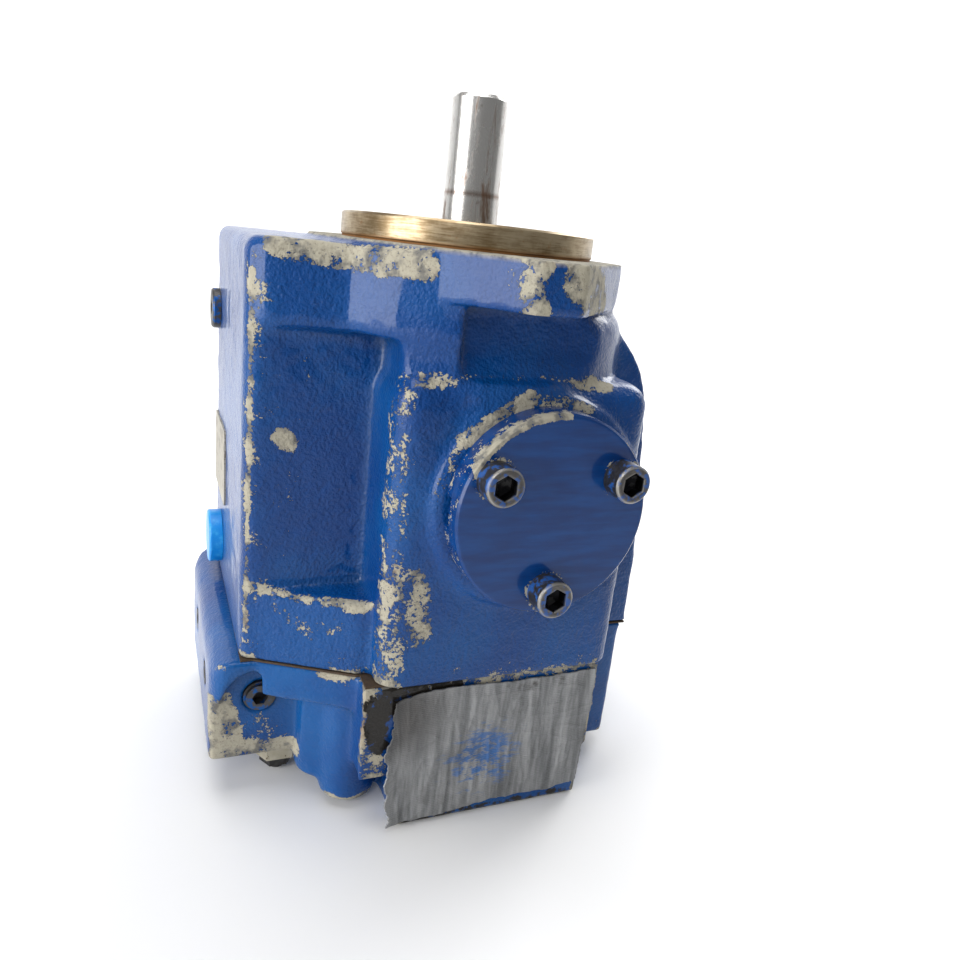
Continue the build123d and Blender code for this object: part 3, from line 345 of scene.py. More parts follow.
def blue_casting_paint(name, peel_height, wear_level=0.80, lighter=0.35):
    """Blue gloss paint on a casting, reading the piece's own wear and edge masks, and its hollow mask, by
    which concave spots are darkened as painted shade.
    """
    material, tree, shader = new_material(
        name, Coat_Roughness=0.07, Specular_IOR_Level=0.16
    )
    edge, wear, hollow_shade, bare, grease = (
        add_node(tree, "ShaderNodeAttribute", attribute_name=n).outputs["Fac"]
        for n in ("edge", "wear", "hollow_shade", "bare", "grease")
    )
    amount = math_node(tree, "ADD", scaled(tree, edge, 0.42), wear, True)
    chips = place_group(tree, chipping, Wear=amount, Size=130.0, Level=wear_level)
    skin = place_group(tree, cast_skin)
    place = object_place(tree)
    tone = smooth_between(tree, noise_node(tree, place, 22.0, 3.0), 0.35, 0.70)
    tone = math_node(tree, "MULTIPLY", tone, lighter)
    paint = mix_colour(tree, tone, CAST_BLUE, CAST_BLUE_LIGHT)
    # painted shade: concave hollows darkened toward a deep blue
    paint = mix_colour(tree, scaled(tree, hollow_shade, 0.55), paint, (0.004, 0.04, 0.13, 1.0))
    # painted shadow: the thin dark rim round each chip
    paint = mix_colour(tree, scaled(tree, chips.outputs["Rim Shadow"], 0.55), paint,
                       (0.02, 0.035, 0.06, 1.0))
    under = mix_colour(tree, chips.outputs["Primer Share"], BARE_IRON, PRIMER)
    under = mix_colour(tree, scaled(tree, chips.outputs["Stain"], 0.45), under, RUST)
    shown = math_node(tree, "MAXIMUM", chips.outputs["Chipped"], bare)
    grit = noise_node(tree, place, 900.0, 3.0, 0.7)
    under = mix_colour(tree, math_node(tree, "MULTIPLY", smooth_between(tree, grit, 0.52, 0.72), 0.5),
                       under, (0.07, 0.06, 0.05, 1.0))
    speckle = noise_node(tree, place, 210.0, 6.0, 0.7)
    smears = math_node(tree, "ADD", grease, math_node(tree, "MULTIPLY", speckle, 2.2))
    smears = smooth_between(tree, smears, 1.74, 1.92)
    finish = mix_colour(tree, smears, mix_colour(tree, shown, paint, under), (0.012, 0.010, 0.008, 1.0))
    tree.links.new(finish, shader.inputs["Base Color"])
    gloss = scaled(tree, shown, 0.38, 0.34)
    tree.links.new(gloss, shader.inputs["Roughness"])
    coat = math_node(tree, "MULTIPLY", rest_of(tree, shown), 0.40)
    tree.links.new(coat, shader.inputs["Coat Weight"])
    height = math_node(tree, "MULTIPLY", skin.outputs["Height"],
                       math_node(tree, "SUBTRACT", 1.0, scaled(tree, shown, 0.35)))
    height = math_node(tree, "SUBTRACT", height, scaled(tree, shown, 0.35))
    bump_into(tree, shader, height, peel_height)
    return material


case_mesh = cast_mesh("case", "case_casting", flatten_above=0.0)
points = mesh_points(case_mesh)
machined_top = ramp(points[:, 2], -0.0012, -0.0004)
joint_side = 1.0 - ramp(points[:, 2], case_low.z + 0.0006, case_low.z + 0.004)
flange_zone = ramp(points[:, 2], -0.0195, -0.0175) * ramp(np.abs(points[:, 1]), 0.040, 0.052)
case_freedom = (1.0 - machined_top) * (1.0 - 0.9 * joint_side) * (1.0 - 0.85 * flange_zone)
curve = soften(case_mesh, case_freedom, CAST_ROUNDS)
lumpy(case_mesh, case_freedom, 0.00026)
points = mesh_points(case_mesh)
# where the paint has been knocked off: from, to, reach, strength
CASE_KNOCKS = (
    ((-0.088, -0.030, -0.010), (-0.089, -0.030, -0.160), 0.010, 0.62),
    ((-0.085, -0.030, -0.060), (-0.085, -0.030, -0.125), 0.014, 0.38),
    ((-0.076, -0.030, -0.072), (-0.074, -0.030, -0.074), 0.007, 1.00),
    ((-0.082, -0.030, -0.061), (-0.080, -0.030, -0.062), 0.006, 0.60),
    ((-0.087, -0.030, -0.020), (-0.080, -0.028, -0.026), 0.009, 0.85),
    ((-0.080, -0.031, -0.004), (-0.062, -0.037, -0.006), 0.009, 1.05),
    ((-0.062, -0.037, -0.006), (-0.036, -0.057, -0.006), 0.009, 1.10),
    ((-0.062, -0.038, -0.010), (-0.040, -0.056, -0.012), 0.006, 0.45),
    ((-0.086, -0.031, -0.131), (-0.068, -0.040, -0.132), 0.007, 0.88),
    ((-0.060, -0.044, -0.132), (-0.047, -0.050, -0.133), 0.007, 0.92),
    ((-0.080, -0.035, -0.137), (-0.065, -0.042, -0.148), 0.006, 0.72),
    ((-0.065, -0.042, -0.148), (-0.056, -0.046, -0.142), 0.007, 0.70),
    ((-0.058, -0.045, -0.158), (-0.044, -0.050, -0.162), 0.007, 0.66),
    ((-0.042, -0.058, -0.052), (-0.042, -0.058, -0.125), 0.013, 0.74),
    ((-0.041, -0.060, -0.118), (-0.040, -0.060, -0.158), 0.013, 0.84),
    ((-0.089, -0.030, -0.014), (-0.089, -0.030, -0.150), 0.004, 1.10),
    ((-0.072, -0.030, -0.040), (-0.078, -0.030, -0.125), 0.012, 0.50),
    ((-0.032, -0.063, -0.118), (-0.029, -0.063, -0.140), 0.011, 0.88),
    ((-0.034, -0.059, -0.044), (0.040, -0.059, -0.043), 0.006, 0.92),
    ((-0.040, -0.052, -0.047), (-0.030, -0.057, -0.044), 0.007, 0.75),
    ((-0.010, -0.063, -0.158), (0.050, -0.063, -0.160), 0.006, 0.58),
    ((-0.029, -0.067, -0.084), (-0.020, -0.067, -0.063), 0.005, 0.80),
    ((-0.020, -0.067, -0.063), (0.004, -0.067, -0.048), 0.006, 1.10),
    ((0.004, -0.067, -0.048), (0.030, -0.067, -0.050), 0.005, 0.85),
    ((-0.0095, -0.087, -0.002), (-0.0090, -0.087, -0.016), 0.010, 0.90),
    ((-0.020, -0.079, -0.004), (-0.010, -0.086, -0.013), 0.008, 0.55),
    ((0.008, -0.087, -0.005), (0.036, -0.066, -0.012), 0.014, 1.15),
    ((-0.036, -0.068, -0.012), (-0.022, -0.077, -0.006), 0.007, 0.62),
    ((-0.025, -0.063, -0.020), (0.030, -0.060, -0.020), 0.006, 0.30),
    ((-0.089, 0.020, -0.003), (-0.089, 0.080, -0.003), 0.009, 0.50),
    ((-0.0895, 0.060, -0.150), (-0.0895, 0.084, -0.120), 0.010, 0.50),
    ((0.058, 0.060, -0.044), (-0.040, 0.060, -0.044), 0.008, 0.50),
    ((0.086, -0.028, -0.150), (0.087, 0.055, -0.160), 0.008, 0.50),
)
wear = np.zeros(len(points))
for start, end, reach, strength in CASE_KNOCKS:
    wear = np.maximum(wear, strength * near_stroke(points, start, end, reach))
set_mask(case_mesh, "wear", wear)
set_mask(case_mesh, "edge", ramp(curve, 90.0, 300.0))
# painted shade mask: how concave each spot is, for darkening in the paint
set_mask(case_mesh, "hollow_shade", ramp(-curve, 60.0, 220.0))
set_mask(case_mesh, "grease", np.zeros(len(points)))
set_mask(case_mesh, "bare", ramp(points[:, 2], -0.0010, -0.0003))
case_paint = blue_casting_paint("case_paint", 0.00072, lighter=0.5)
new_piece("case_casting", case_mesh, case_paint, "housing", "blue_casting", "case")
bpy.data.objects["case_casting"].data.shade_smooth()

# ---- the pilot register ----
# The round register that the pump is centred by, turned on the same casting after painting:
# bare iron gone golden brown, with fine turning lines and a thin rust line at its foot.
PILOT_RADIUS = 0.0508
PILOT_HEIGHT = case_high.z
PILOT_BORE = 0.020
PILOT_FOOT = -0.0015
PILOT_EDGE = 0.0008
PILOT_STEPS = 256


def mesh_from(shape, name):
    """Turns a finished bmesh into a mesh, its faces all pointing out."""
    bmesh.ops.recalc_face_normals(shape, faces=shape.faces)
    mesh = bpy.data.meshes.new(name)
    shape.to_mesh(mesh)
    shape.free()
    return mesh


def join_rings(shape, low, high):
    """Faces between two rings of as many points."""
    for i in range(len(low)):
        j = (i + 1) % len(low)
        shape.faces.new((low[i], low[j], high[j], high[i]))


def lathe_mesh(name, outline, steps, closed=False):
    """A turned shape: an outline of radius and height points, spun about the Z axis."""
    shape = bmesh.new()
    rings = []
    for radius, height in outline:
        rings.append(
            [
                shape.verts.new(
                    (
                        radius * math.cos(2 * math.pi * i / steps),
                        radius * math.sin(2 * math.pi * i / steps),
                        height,
                    )
                )
                for i in range(steps)
            ]
        )
    pairs = list(zip(rings, rings[1:])) + ([(rings[-1], rings[0])] if closed else [])
    for low, high in pairs:
        join_rings(shape, low, high)
    if not closed:
        shape.faces.new(rings[-1])
        shape.faces.new(reversed(rings[0]))
    return mesh_from(shape, name)


def smooth_by_angle(mesh, degrees):
    """Round faces shade smooth and sharp edges stay sharp."""
    mesh.shade_smooth()
    mesh.set_sharp_from_angle(angle=math.radians(degrees))


pilot_outline = (
    (PILOT_BORE, PILOT_FOOT),
    (PILOT_BORE, PILOT_HEIGHT - 0.0006),
    (PILOT_BORE + 0.0006, PILOT_HEIGHT),
    (PILOT_RADIUS - PILOT_EDGE - 0.0004, PILOT_HEIGHT),
    (PILOT_RADIUS - PILOT_EDGE, PILOT_HEIGHT - 0.0001),
    (PILOT_RADIUS - 0.0001, PILOT_HEIGHT - PILOT_EDGE),
    (PILOT_RADIUS, PILOT_HEIGHT - PILOT_EDGE - 0.0004),
    (PILOT_RADIUS, 0.0011),
    (PILOT_RADIUS - 0.0005, 0.0006),
    (PILOT_RADIUS - 0.0005, PILOT_FOOT),
)
# turned iron: rings round the shaft axis, tarnish, and rust by height
turned, turned_in, turned_out = new_group(
    "turned_iron",
    [("Lines", 2600.0), ("Rust Height", 0.0004), ("Rust Reach", 0.0016)],
    [
        ("Groove", "NodeSocketFloat"),
        ("Tarnish", "NodeSocketFloat"),
        ("Rust", "NodeSocketFloat"),
    ],
)
tree = turned
place = object_place(tree)
parts = add_node(tree, "ShaderNodeSeparateXYZ", inputs={0: place})
flat = add_node(
    tree, "ShaderNodeCombineXYZ", inputs={0: parts.outputs[0], 1: parts.outputs[1]}
)
radius = add_node(
    tree, "ShaderNodeVectorMath", operation="LENGTH", inputs={0: flat.outputs[0]}
).outputs["Value"]
profile = math_node(tree, "ADD", radius, math_node(tree, "MULTIPLY", parts.outputs[2], 0.93))
ring_place = add_node(tree, "ShaderNodeCombineXYZ", inputs={2: profile})
groove = noise_node(tree, ring_place.outputs[0], turned_in.outputs["Lines"], 3.0, 0.7)
tree.links.new(groove, turned_out.inputs["Groove"])
cloud = noise_node(tree, place, 60.0, 5.0, 0.65)
streak = stretched(tree, place, (120.0, 120.0, 1500.0))
streaks = noise_node(tree, streak, 1.0, 3.0, 0.6)
tarnish = math_node(tree, "ADD", scaled(tree, cloud, 0.6),
                    scaled(tree, streaks, 0.4))
tree.links.new(smooth_between(tree, tarnish, 0.38, 0.62), turned_out.inputs["Tarnish"])
rise = math_node(tree, "ABSOLUTE",
                 math_node(tree, "SUBTRACT", parts.outputs[2], turned_in.outputs["Rust Height"]))
band = math_node(tree, "SUBTRACT", 1.0,
                 math_node(tree, "DIVIDE", rise, turned_in.outputs["Rust Reach"]), True)
band = math_node(tree, "MULTIPLY", band, math_node(tree, "ADD", 0.5, cloud))
spots = smooth_between(tree, noise_node(tree, place, 230.0, 5.0, 0.7), 0.60, 0.72)
tree.links.new(math_node(tree, "MAXIMUM", band, scaled(tree, spots, 0.6), True),
               turned_out.inputs["Rust"])

pilot_finish, tree, shader = new_material("register_iron")
lathe_marks = place_group(tree, turned)
iron = mix_colour(tree, lathe_marks.outputs["Tarnish"], (0.20, 0.135, 0.065, 1.0), (0.46, 0.37, 0.24, 1.0))
iron = mix_colour(tree, scaled(tree, lathe_marks.outputs["Rust"], 0.8), iron,
                  (0.28, 0.105, 0.02, 1.0))
tree.links.new(iron, shader.inputs["Base Color"])
shader.inputs["Metallic"].default_value = 0.75
tree.links.new(
    scaled(tree, lathe_marks.outputs["Rust"], 0.4, 0.30),
    shader.inputs["Roughness"],
)
bump_into(tree, shader, lathe_marks.outputs["Groove"], 0.00006)
pilot_mesh = lathe_mesh("pilot_register", pilot_outline, PILOT_STEPS, closed=True)
smooth_by_angle(pilot_mesh, 30)
new_piece("pilot_register", pilot_mesh, pilot_finish, "housing", "machined_steel", "case")

# ---- the port block ----
# The second casting, under the case. It holds the ports, the valve bore and the feet,
# and is painted with the case, so the brush marks run on down over it.
block_low, block_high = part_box("port_block")
block_mesh = cast_mesh("port_block", "port_block_casting")
points = mesh_points(block_mesh)
joint_side = ramp(points[:, 2], block_high.z - 0.004, block_high.z - 0.0006)
front_pad = 1.0 - ramp(points[:, 1], block_low.y + 0.0002, block_low.y + 0.002)
block_freedom = (1.0 - 0.9 * joint_side) * (1.0 - 0.85 * front_pad)
curve = soften(block_mesh, block_freedom, CAST_ROUNDS)
lumpy(block_mesh, block_freedom, 0.00020)
points = mesh_points(block_mesh)
BLOCK_KNOCKS = (
    ((-0.100, -0.030, -0.166), (-0.100, 0.080, -0.166), 0.008, 0.40),
    ((-0.098, -0.024, -0.186), (-0.092, -0.024, -0.210), 0.011, 1.20),
    ((-0.096, -0.024, -0.209), (-0.066, -0.024, -0.210), 0.009, 1.05),
    ((-0.082, -0.024, -0.197), (-0.072, -0.024, -0.206), 0.011, 0.72),
    ((-0.060, -0.045, -0.165), (-0.046, -0.050, -0.166), 0.006, 0.70),
    ((-0.047, -0.059, -0.165), (-0.047, -0.059, -0.195), 0.007, 0.72),
    ((-0.045, -0.059, -0.166), (0.055, -0.059, -0.165), 0.006, 0.80),
    ((-0.042, -0.059, -0.196), (-0.030, -0.059, -0.231), 0.008, 0.85),
    ((0.056, -0.059, -0.166), (0.056, -0.059, -0.229), 0.006, 0.70),
    ((-0.054, -0.040, -0.227), (-0.038, -0.043, -0.227), 0.006, 0.85),
    ((0.070, -0.030, -0.180), (0.086, -0.030, -0.222), 0.010, 0.45),
    ((-0.030, 0.059, -0.229), (0.054, 0.059, -0.229), 0.009, 0.70),
    ((-0.100, 0.030, -0.206), (-0.100, 0.085, -0.206), 0.010, 0.60),
)
wear = np.zeros(len(points))
for start, end, reach, strength in BLOCK_KNOCKS:
    wear = np.maximum(wear, strength * near_stroke(points, start, end, reach))
set_mask(block_mesh, "wear", wear)
set_mask(block_mesh, "edge", ramp(curve, 70.0, 230.0))
# painted shade mask: how concave each spot is, for darkening in the paint
set_mask(block_mesh, "hollow_shade", ramp(-curve, 60.0, 220.0))
# black grease round the upper left corner of the inlet pad and along its lower edge
grease = near_stroke(points, (-0.041, -0.059, -0.172), (-0.012, -0.059, -0.166), 0.010)
grease = np.maximum(grease, near_stroke(points, (-0.041, -0.059, -0.172), (-0.040, -0.059, -0.190), 0.008))
wiped_edge = near_stroke(points, (-0.026, -0.059, -0.230), (0.050, -0.059, -0.230), 0.004)
grease = np.maximum(grease, 0.8 * wiped_edge)
set_mask(block_mesh, "grease", grease)
set_mask(block_mesh, "bare", 1.0 - ramp(points[:, 2], block_low.z + 0.0003, block_low.z + 0.0012))
block_paint = blue_casting_paint("port_block_paint", 0.00036, lighter=1.0)
new_piece("port_block_casting", block_mesh, block_paint, "housing", "blue_casting", "port_block")
bpy.data.objects["port_block_casting"].data.shade_smooth()

# ---- the gasket ----
# Brown sheet gasket squeezed between the two castings, black with old oil at its edge.
gasket_finish, tree, shader = new_material("gasket_sheet", Roughness=0.85)
place = object_place(tree)
fibre = noise_node(tree, place, 500.0, 4.0, 0.7)
tree.links.new(mix_colour(tree, fibre, (0.012, 0.009, 0.007, 1.0), (0.10, 0.06, 0.03, 1.0)),
               shader.inputs["Base Color"])
bump_into(tree, shader, fibre, 0.00005)


def finish_node(node, material):
    """Gives a machined piece its finish."""
    slots = frame["nodes"][node].material_slots
    if not slots:
        frame["nodes"][node].data.materials.append(material)
    for slot in slots:
        slot.material = material


finish_node("joint_gasket", gasket_finish)

# ---- the trunnion caps ----
# Turned steel discs, one each side, that close the bores in which the yoke swings. They are
# painted with the case; each has a notch at its foot for prying it off.
CAP_RADIUS = 0.03825
CAP_EDGE = 0.0009
CAP_STEPS = 288
NOTCH_HALF = math.radians(8.0)
NOTCH_DEPTH = 0.0030
NOTCH_HEIGHT = 0.0042
cap_low, cap_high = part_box("front_trunnion_cap")
CAP_CENTRE_X = (cap_low.x + cap_high.x) / 2
CAP_CENTRE_Z = (cap_low.z + cap_high.z) / 2
CAP_FACE = abs(cap_low.y)
RING_FACE = 0.0669  # the raised ring that a cap seats on, out from the shaft's axis
SCREW_CIRCLE = 0.029
SCREW_ANGLES = (30, 150, 270)
cap_paint, tree, shader = new_material("cap_paint", Coat_Roughness=0.08, Specular_IOR_Level=0.16)
wear, screw_ring = (
    add_node(tree, "ShaderNodeAttribute", attribute_name=n).outputs["Fac"]
    for n in ("wear", "screw_ring")
)
place = object_place(tree)
chips = place_group(tree, chipping, Wear=math_node(tree, "MAXIMUM", wear, screw_ring), Size=160.0, Level=0.80)
sweep = stretched(tree, place, (40.0, 40.0, 260.0))
brush = noise_node(tree, sweep, 1.0, 4.0, 0.6)
paint = mix_colour(tree, smooth_between(tree, brush, 0.3, 0.7), (0.0004, 0.026, 0.130, 1.0),
                   (0.0010, 0.046, 0.200, 1.0))
# painted shadow: the thin dark rim round each chip
paint = mix_colour(tree, scaled(tree, chips.outputs["Rim Shadow"], 0.5), paint, (0.02, 0.03, 0.05, 1.0))
under = mix_colour(tree, chips.outputs["Primer Share"], BARE_IRON, PRIMER)
tree.links.new(mix_colour(tree, chips.outputs["Chipped"], paint, under), shader.inputs["Base Color"])
tree.links.new(scaled(tree, chips.outputs["Chipped"], 0.4, 0.26),
               shader.inputs["Roughness"])
tree.links.new(
    math_node(tree, "MULTIPLY", rest_of(tree, chips.outputs["Chipped"]), 0.5),
    shader.inputs["Coat Weight"],
)
dust = noise_node(tree, place, 520.0, 3.0, 0.6)
cap_height = math_node(tree, "SUBTRACT", scaled(tree, dust, 0.5), chips.outputs["Chipped"])
bump_into(tree, shader, cap_height, 0.00008)

for side, where in ((-1, "front"), (1, "rear")):
    node = where + "_trunnion_cap"
    thick = CAP_FACE - RING_FACE
    outline = [(CAP_RADIUS - 0.004, -0.0002), (CAP_RADIUS, -0.0002)]
    outline += [(CAP_RADIUS, NOTCH_HEIGHT * share) for share in (0.25, 0.5, 0.75, 1.0)]
    outline += [
        (CAP_RADIUS, NOTCH_HEIGHT + 0.0003),
        (CAP_RADIUS, thick - CAP_EDGE - 0.0004),
        (CAP_RADIUS - 0.0001, thick - CAP_EDGE),
        (CAP_RADIUS - CAP_EDGE, thick - 0.0001),
        (CAP_RADIUS - CAP_EDGE - 0.0004, thick),
    ]
    outline += [(CAP_RADIUS * share, thick) for share in np.linspace(0.95, 0.05, 24)]
    cap_mesh = lathe_mesh(node, outline, CAP_STEPS)
    points = mesh_points(cap_mesh)
    angle = np.arctan2(points[:, 1], points[:, 0])
    away = np.abs(np.abs(angle) - math.pi)
    in_notch = (away < NOTCH_HALF) & (points[:, 2] <= NOTCH_HEIGHT + 1e-6)
    distance = np.hypot(points[:, 0], points[:, 1])
    in_notch &= distance > CAP_RADIUS - 1e-5
    points[in_notch, :2] *= (CAP_RADIUS - NOTCH_DEPTH) / CAP_RADIUS
    # stand the disc up: its own Z becomes the way out of the case
    placed = np.stack(
        [points[:, 0] + CAP_CENTRE_X, side * (RING_FACE + points[:, 2]), points[:, 1] + CAP_CENTRE_Z], axis=1
    )
    cap_mesh.vertices.foreach_set("co", placed.ravel())
    shape = bmesh.new()
    shape.from_mesh(cap_mesh)
    bmesh.ops.recalc_face_normals(shape, faces=shape.faces)
    shape.to_mesh(cap_mesh)
    shape.free()
    rim_wear = ramp(distance, CAP_RADIUS - 0.0022, CAP_RADIUS - 0.0004) * 0.62
    upper = near_stroke(placed, (-0.018, side * 0.078, -0.066), (0.010, side * 0.078, -0.052), 0.009)
    set_mask(cap_mesh, "wear", np.maximum(rim_wear, 1.1 * upper * (distance > 0.035)))
    rings = np.zeros(len(placed))
    for degrees in SCREW_ANGLES:
        x = CAP_CENTRE_X + SCREW_CIRCLE * math.cos(math.radians(degrees))
        z = CAP_CENTRE_Z + SCREW_CIRCLE * math.sin(math.radians(degrees))
        gap = np.hypot(placed[:, 0] - x, placed[:, 2] - z)
        rings = np.maximum(rings, 0.75 * (1.0 - ramp(gap, 0.0075, 0.0105)))
    set_mask(cap_mesh, "screw_ring", rings)
    smooth_by_angle(cap_mesh, 30)
    new_piece(node, cap_mesh, cap_paint, "housing", "blue_casting", node)

# ---- the cap screws ----
# Socket head screws, black oxide steel with blue overspray left on their sides, with a painted
# highlight round the rim of the head and the socket's mouth, and painted shade inside the socket.
HEAD_RADIUS = 0.00715
HEAD_HEIGHT = 0.0095
HEAD_EDGE = 0.0009
HEAD_HEX = 0.00794
HEAD_SOCKET = 0.0052
HEAD_STEPS = 72
screw_finish, tree, shader = new_material("screw_steel")
painted_rim_shading, socket_shade = (
    add_node(tree, "ShaderNodeAttribute", attribute_name=n).outputs["Fac"]
    for n in ("painted_glint", "socket_shade")
)
place = object_place(tree)
smear = noise_node(tree, place, 260.0, 5.0, 0.65)
blue_left = smooth_between(tree, smear, 0.50, 0.57)
blue_left = math_node(tree, "MULTIPLY", blue_left, rest_of(tree, painted_rim_shading))
steel = mix_colour(tree, noise_node(tree, place, 700.0, 3.0, 0.6), (0.035, 0.035, 0.038, 1.0),
                   (0.15, 0.14, 0.13, 1.0))
# painted highlight: the head's rim and the socket's top edge lightened
steel = mix_colour(tree, painted_rim_shading, steel, (0.60, 0.58, 0.54, 1.0))
steel = mix_colour(tree, scaled(tree, blue_left, 0.9), steel, (0.006, 0.075, 0.30, 1.0))
# painted shade: the inside of the socket darkened nearly to black
steel = mix_colour(tree, socket_shade, steel, (0.008, 0.008, 0.010, 1.0))
tree.links.new(steel, shader.inputs["Base Color"])
tree.links.new(math_node(tree, "SUBTRACT", 0.85, scaled(tree, blue_left, 0.75), True),
               shader.inputs["Metallic"])
tree.links.new(scaled(tree, smear, 0.2, 0.28), shader.inputs["Roughness"])
bump_into(tree, shader, smear, 0.00010)


def socket_screws(name, seats, out, material, body, slot, node):
    """Socket heads standing on their seats, out along one direction."""
    shape = bmesh.new()
    out = Vector(out)
    across = Vector((0, 0, 1)) if abs(out.z) < 0.5 else Vector((1, 0, 0))
    over = out.cross(across)
    # rings: radius, height, hexagonal or round, share of painted highlight, share of painted shade
    rings = (
        (HEAD_RADIUS, 0.0, False, 0, 0),
        (HEAD_RADIUS, HEAD_HEIGHT - HEAD_EDGE - 0.0005, False, 0, 0),
        (HEAD_RADIUS, HEAD_HEIGHT - HEAD_EDGE, False, 0.15, 0),
        (HEAD_RADIUS - HEAD_EDGE * 0.6, HEAD_HEIGHT - HEAD_EDGE * 0.2, False, 0.55, 0),
        (HEAD_RADIUS - HEAD_EDGE, HEAD_HEIGHT, False, 0.15, 0),
        (HEAD_RADIUS - HEAD_EDGE * 1.6, HEAD_HEIGHT, False, 0.0, 0),
        (HEAD_HEX / 2 + 0.0010, HEAD_HEIGHT, False, 0.0, 0),
        (HEAD_HEX / 2 + 0.0002, HEAD_HEIGHT - 0.0001, True, 0.15, 0),
        (HEAD_HEX / 2, HEAD_HEIGHT - 0.0004, True, 0.4, 0.4),
        (HEAD_HEX / 2, HEAD_HEIGHT - 0.0014, True, 0, 1),
        (HEAD_HEX / 2, HEAD_HEIGHT - HEAD_SOCKET, True, 0, 1),
        (HEAD_HEX / 5, HEAD_HEIGHT - HEAD_SOCKET - 0.0008, True, 0, 1),
    )
    painted_glint, socket_shade = [], []
    for seat in seats:
        loops = []
        for size, rise, hexagon, glint_share, shade_share in rings:
            loop = []
            for i in range(HEAD_STEPS):
                turn = 2 * math.pi * i / HEAD_STEPS
                reach = size
                if hexagon:
                    part = (turn % (math.pi / 3)) - math.pi / 6
                    reach = size / math.cos(part)
                point = Vector(seat) + out * rise
                point += across * (reach * math.cos(turn)) + over * (reach * math.sin(turn))
                loop.append(shape.verts.new(point))
                painted_glint.append(glint_share)
                socket_shade.append(shade_share)
            loops.append(loop)
        for low, high in zip(loops, loops[1:]):
            join_rings(shape, low, high)
        shape.faces.new(loops[-1])
        shape.faces.new(reversed(loops[0]))
    mesh = mesh_from(shape, name)
    set_mask(mesh, "painted_glint", np.array(painted_glint, float))
    set_mask(mesh, "socket_shade", np.array(socket_shade, float))
    smooth_by_angle(mesh, 35)
    return new_piece(name, mesh, material, body, slot, node)


for side, where in ((-1, "front"), (1, "rear")):
    seats = [
        (
            CAP_CENTRE_X + SCREW_CIRCLE * math.cos(math.radians(a)),
            side * CAP_FACE,
            CAP_CENTRE_Z + SCREW_CIRCLE * math.sin(math.radians(a)),
        )
        for a in SCREW_ANGLES
    ]
    socket_screws(where + "_screw_heads", seats, (0, side, 0), screw_finish, "housing", "screw_steel",
                  where + "_cap_screws")

# ---- the shaft ----
# Hardened ground steel. It is polished by its coupling over the free end and stained brown
# with old rust; a fine step marks where the coupling stopped.
shaft_finish, tree, shader = new_material("shaft_steel")
shader.inputs["Metallic"].default_value = 1.0
place = object_place(tree)
parts = add_node(tree, "ShaderNodeSeparateXYZ", inputs={0: place})
lathe_marks = place_group(tree, turned, Lines=5200.0, **{"Rust Height": 0.0205, "Rust Reach": 0.0016})
drip = stretched(tree, place, (260.0, 260.0, 42.0))
stain = smooth_between(tree, noise_node(tree, drip, 1.0, 5.0, 0.65, 0.4), 0.50, 0.66)
steel = mix_colour(tree, lathe_marks.outputs["Groove"], (0.55, 0.54, 0.52, 1.0), (0.80, 0.79, 0.77, 1.0))
steel = mix_colour(tree, scaled(tree, stain, 0.8), steel, (0.17, 0.085, 0.045, 1.0))
steel = mix_colour(tree, scaled(tree, lathe_marks.outputs["Rust"], 0.75), steel,
                   (0.16, 0.075, 0.035, 1.0))
tree.links.new(steel, shader.inputs["Base Color"])
tree.links.new(scaled(tree, stain, 0.30, 0.24), shader.inputs["Roughness"])
bump_into(tree, shader, lathe_marks.outputs["Groove"], 0.000012)
finish_node("shaft", shaft_finish)

# ---- the shaft seal and its ring ----
# A rubber lip in a metal shell, dark green-black and oily, held by a spring steel ring.
seal_finish, tree, shader = new_material("seal_rubber", Roughness=0.45)
place = object_place(tree)
oil = noise_node(tree, place, 240.0, 4.0, 0.6)
tree.links.new(mix_colour(tree, oil, (0.010, 0.014, 0.010, 1.0), (0.055, 0.060, 0.035, 1.0)),
               shader.inputs["Base Color"])
bump_into(tree, shader, oil, 0.0001)
finish_node("shaft_seal", seal_finish)
finish_node("trunnion_cap_seals", seal_finish)
spring_finish, tree, shader = new_material("spring_wire", Roughness=0.38, Metallic=0.9)
place = object_place(tree)
blueing = noise_node(tree, place, 180.0, 4.0, 0.6)
tree.links.new(mix_colour(tree, blueing, (0.10, 0.09, 0.08, 1.0), (0.34, 0.33, 0.31, 1.0)),
               shader.inputs["Base Color"])
bump_into(tree, shader, noise_node(tree, place, 1400.0, 2.0), 0.00002)
for node in ("seal_retaining_ring", "bearing_housing_ring", "bearing_shaft_ring", "barrel_spring",
             "bias_spring", "compensator_spring"):
    finish_node(node, spring_finish)

# ---- the tape over the inlet ----
# Silver grey cloth tape stuck over the open inlet to keep dirt out: torn at its left edge,
# wrinkled, sunk a little into the port, and smudged with blue paint and grease.
tape_low, tape_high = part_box("inlet_tape")
TAPE_CELLS = (190, 130)
TAPE_PORT = (0.011, 0.019, -0.1969)
TAPE_BODY = 0.0006


def tape_edge(share, seed, size):
    """How far the tape's edge wanders, along it."""
    return size * sum(
        noise.noise(Vector((share * pitch, seed, pitch))) / pitch**0.7 * 2.2
        for pitch in (2.3, 5.7, 13.1, 31.7, 71.3)
    )


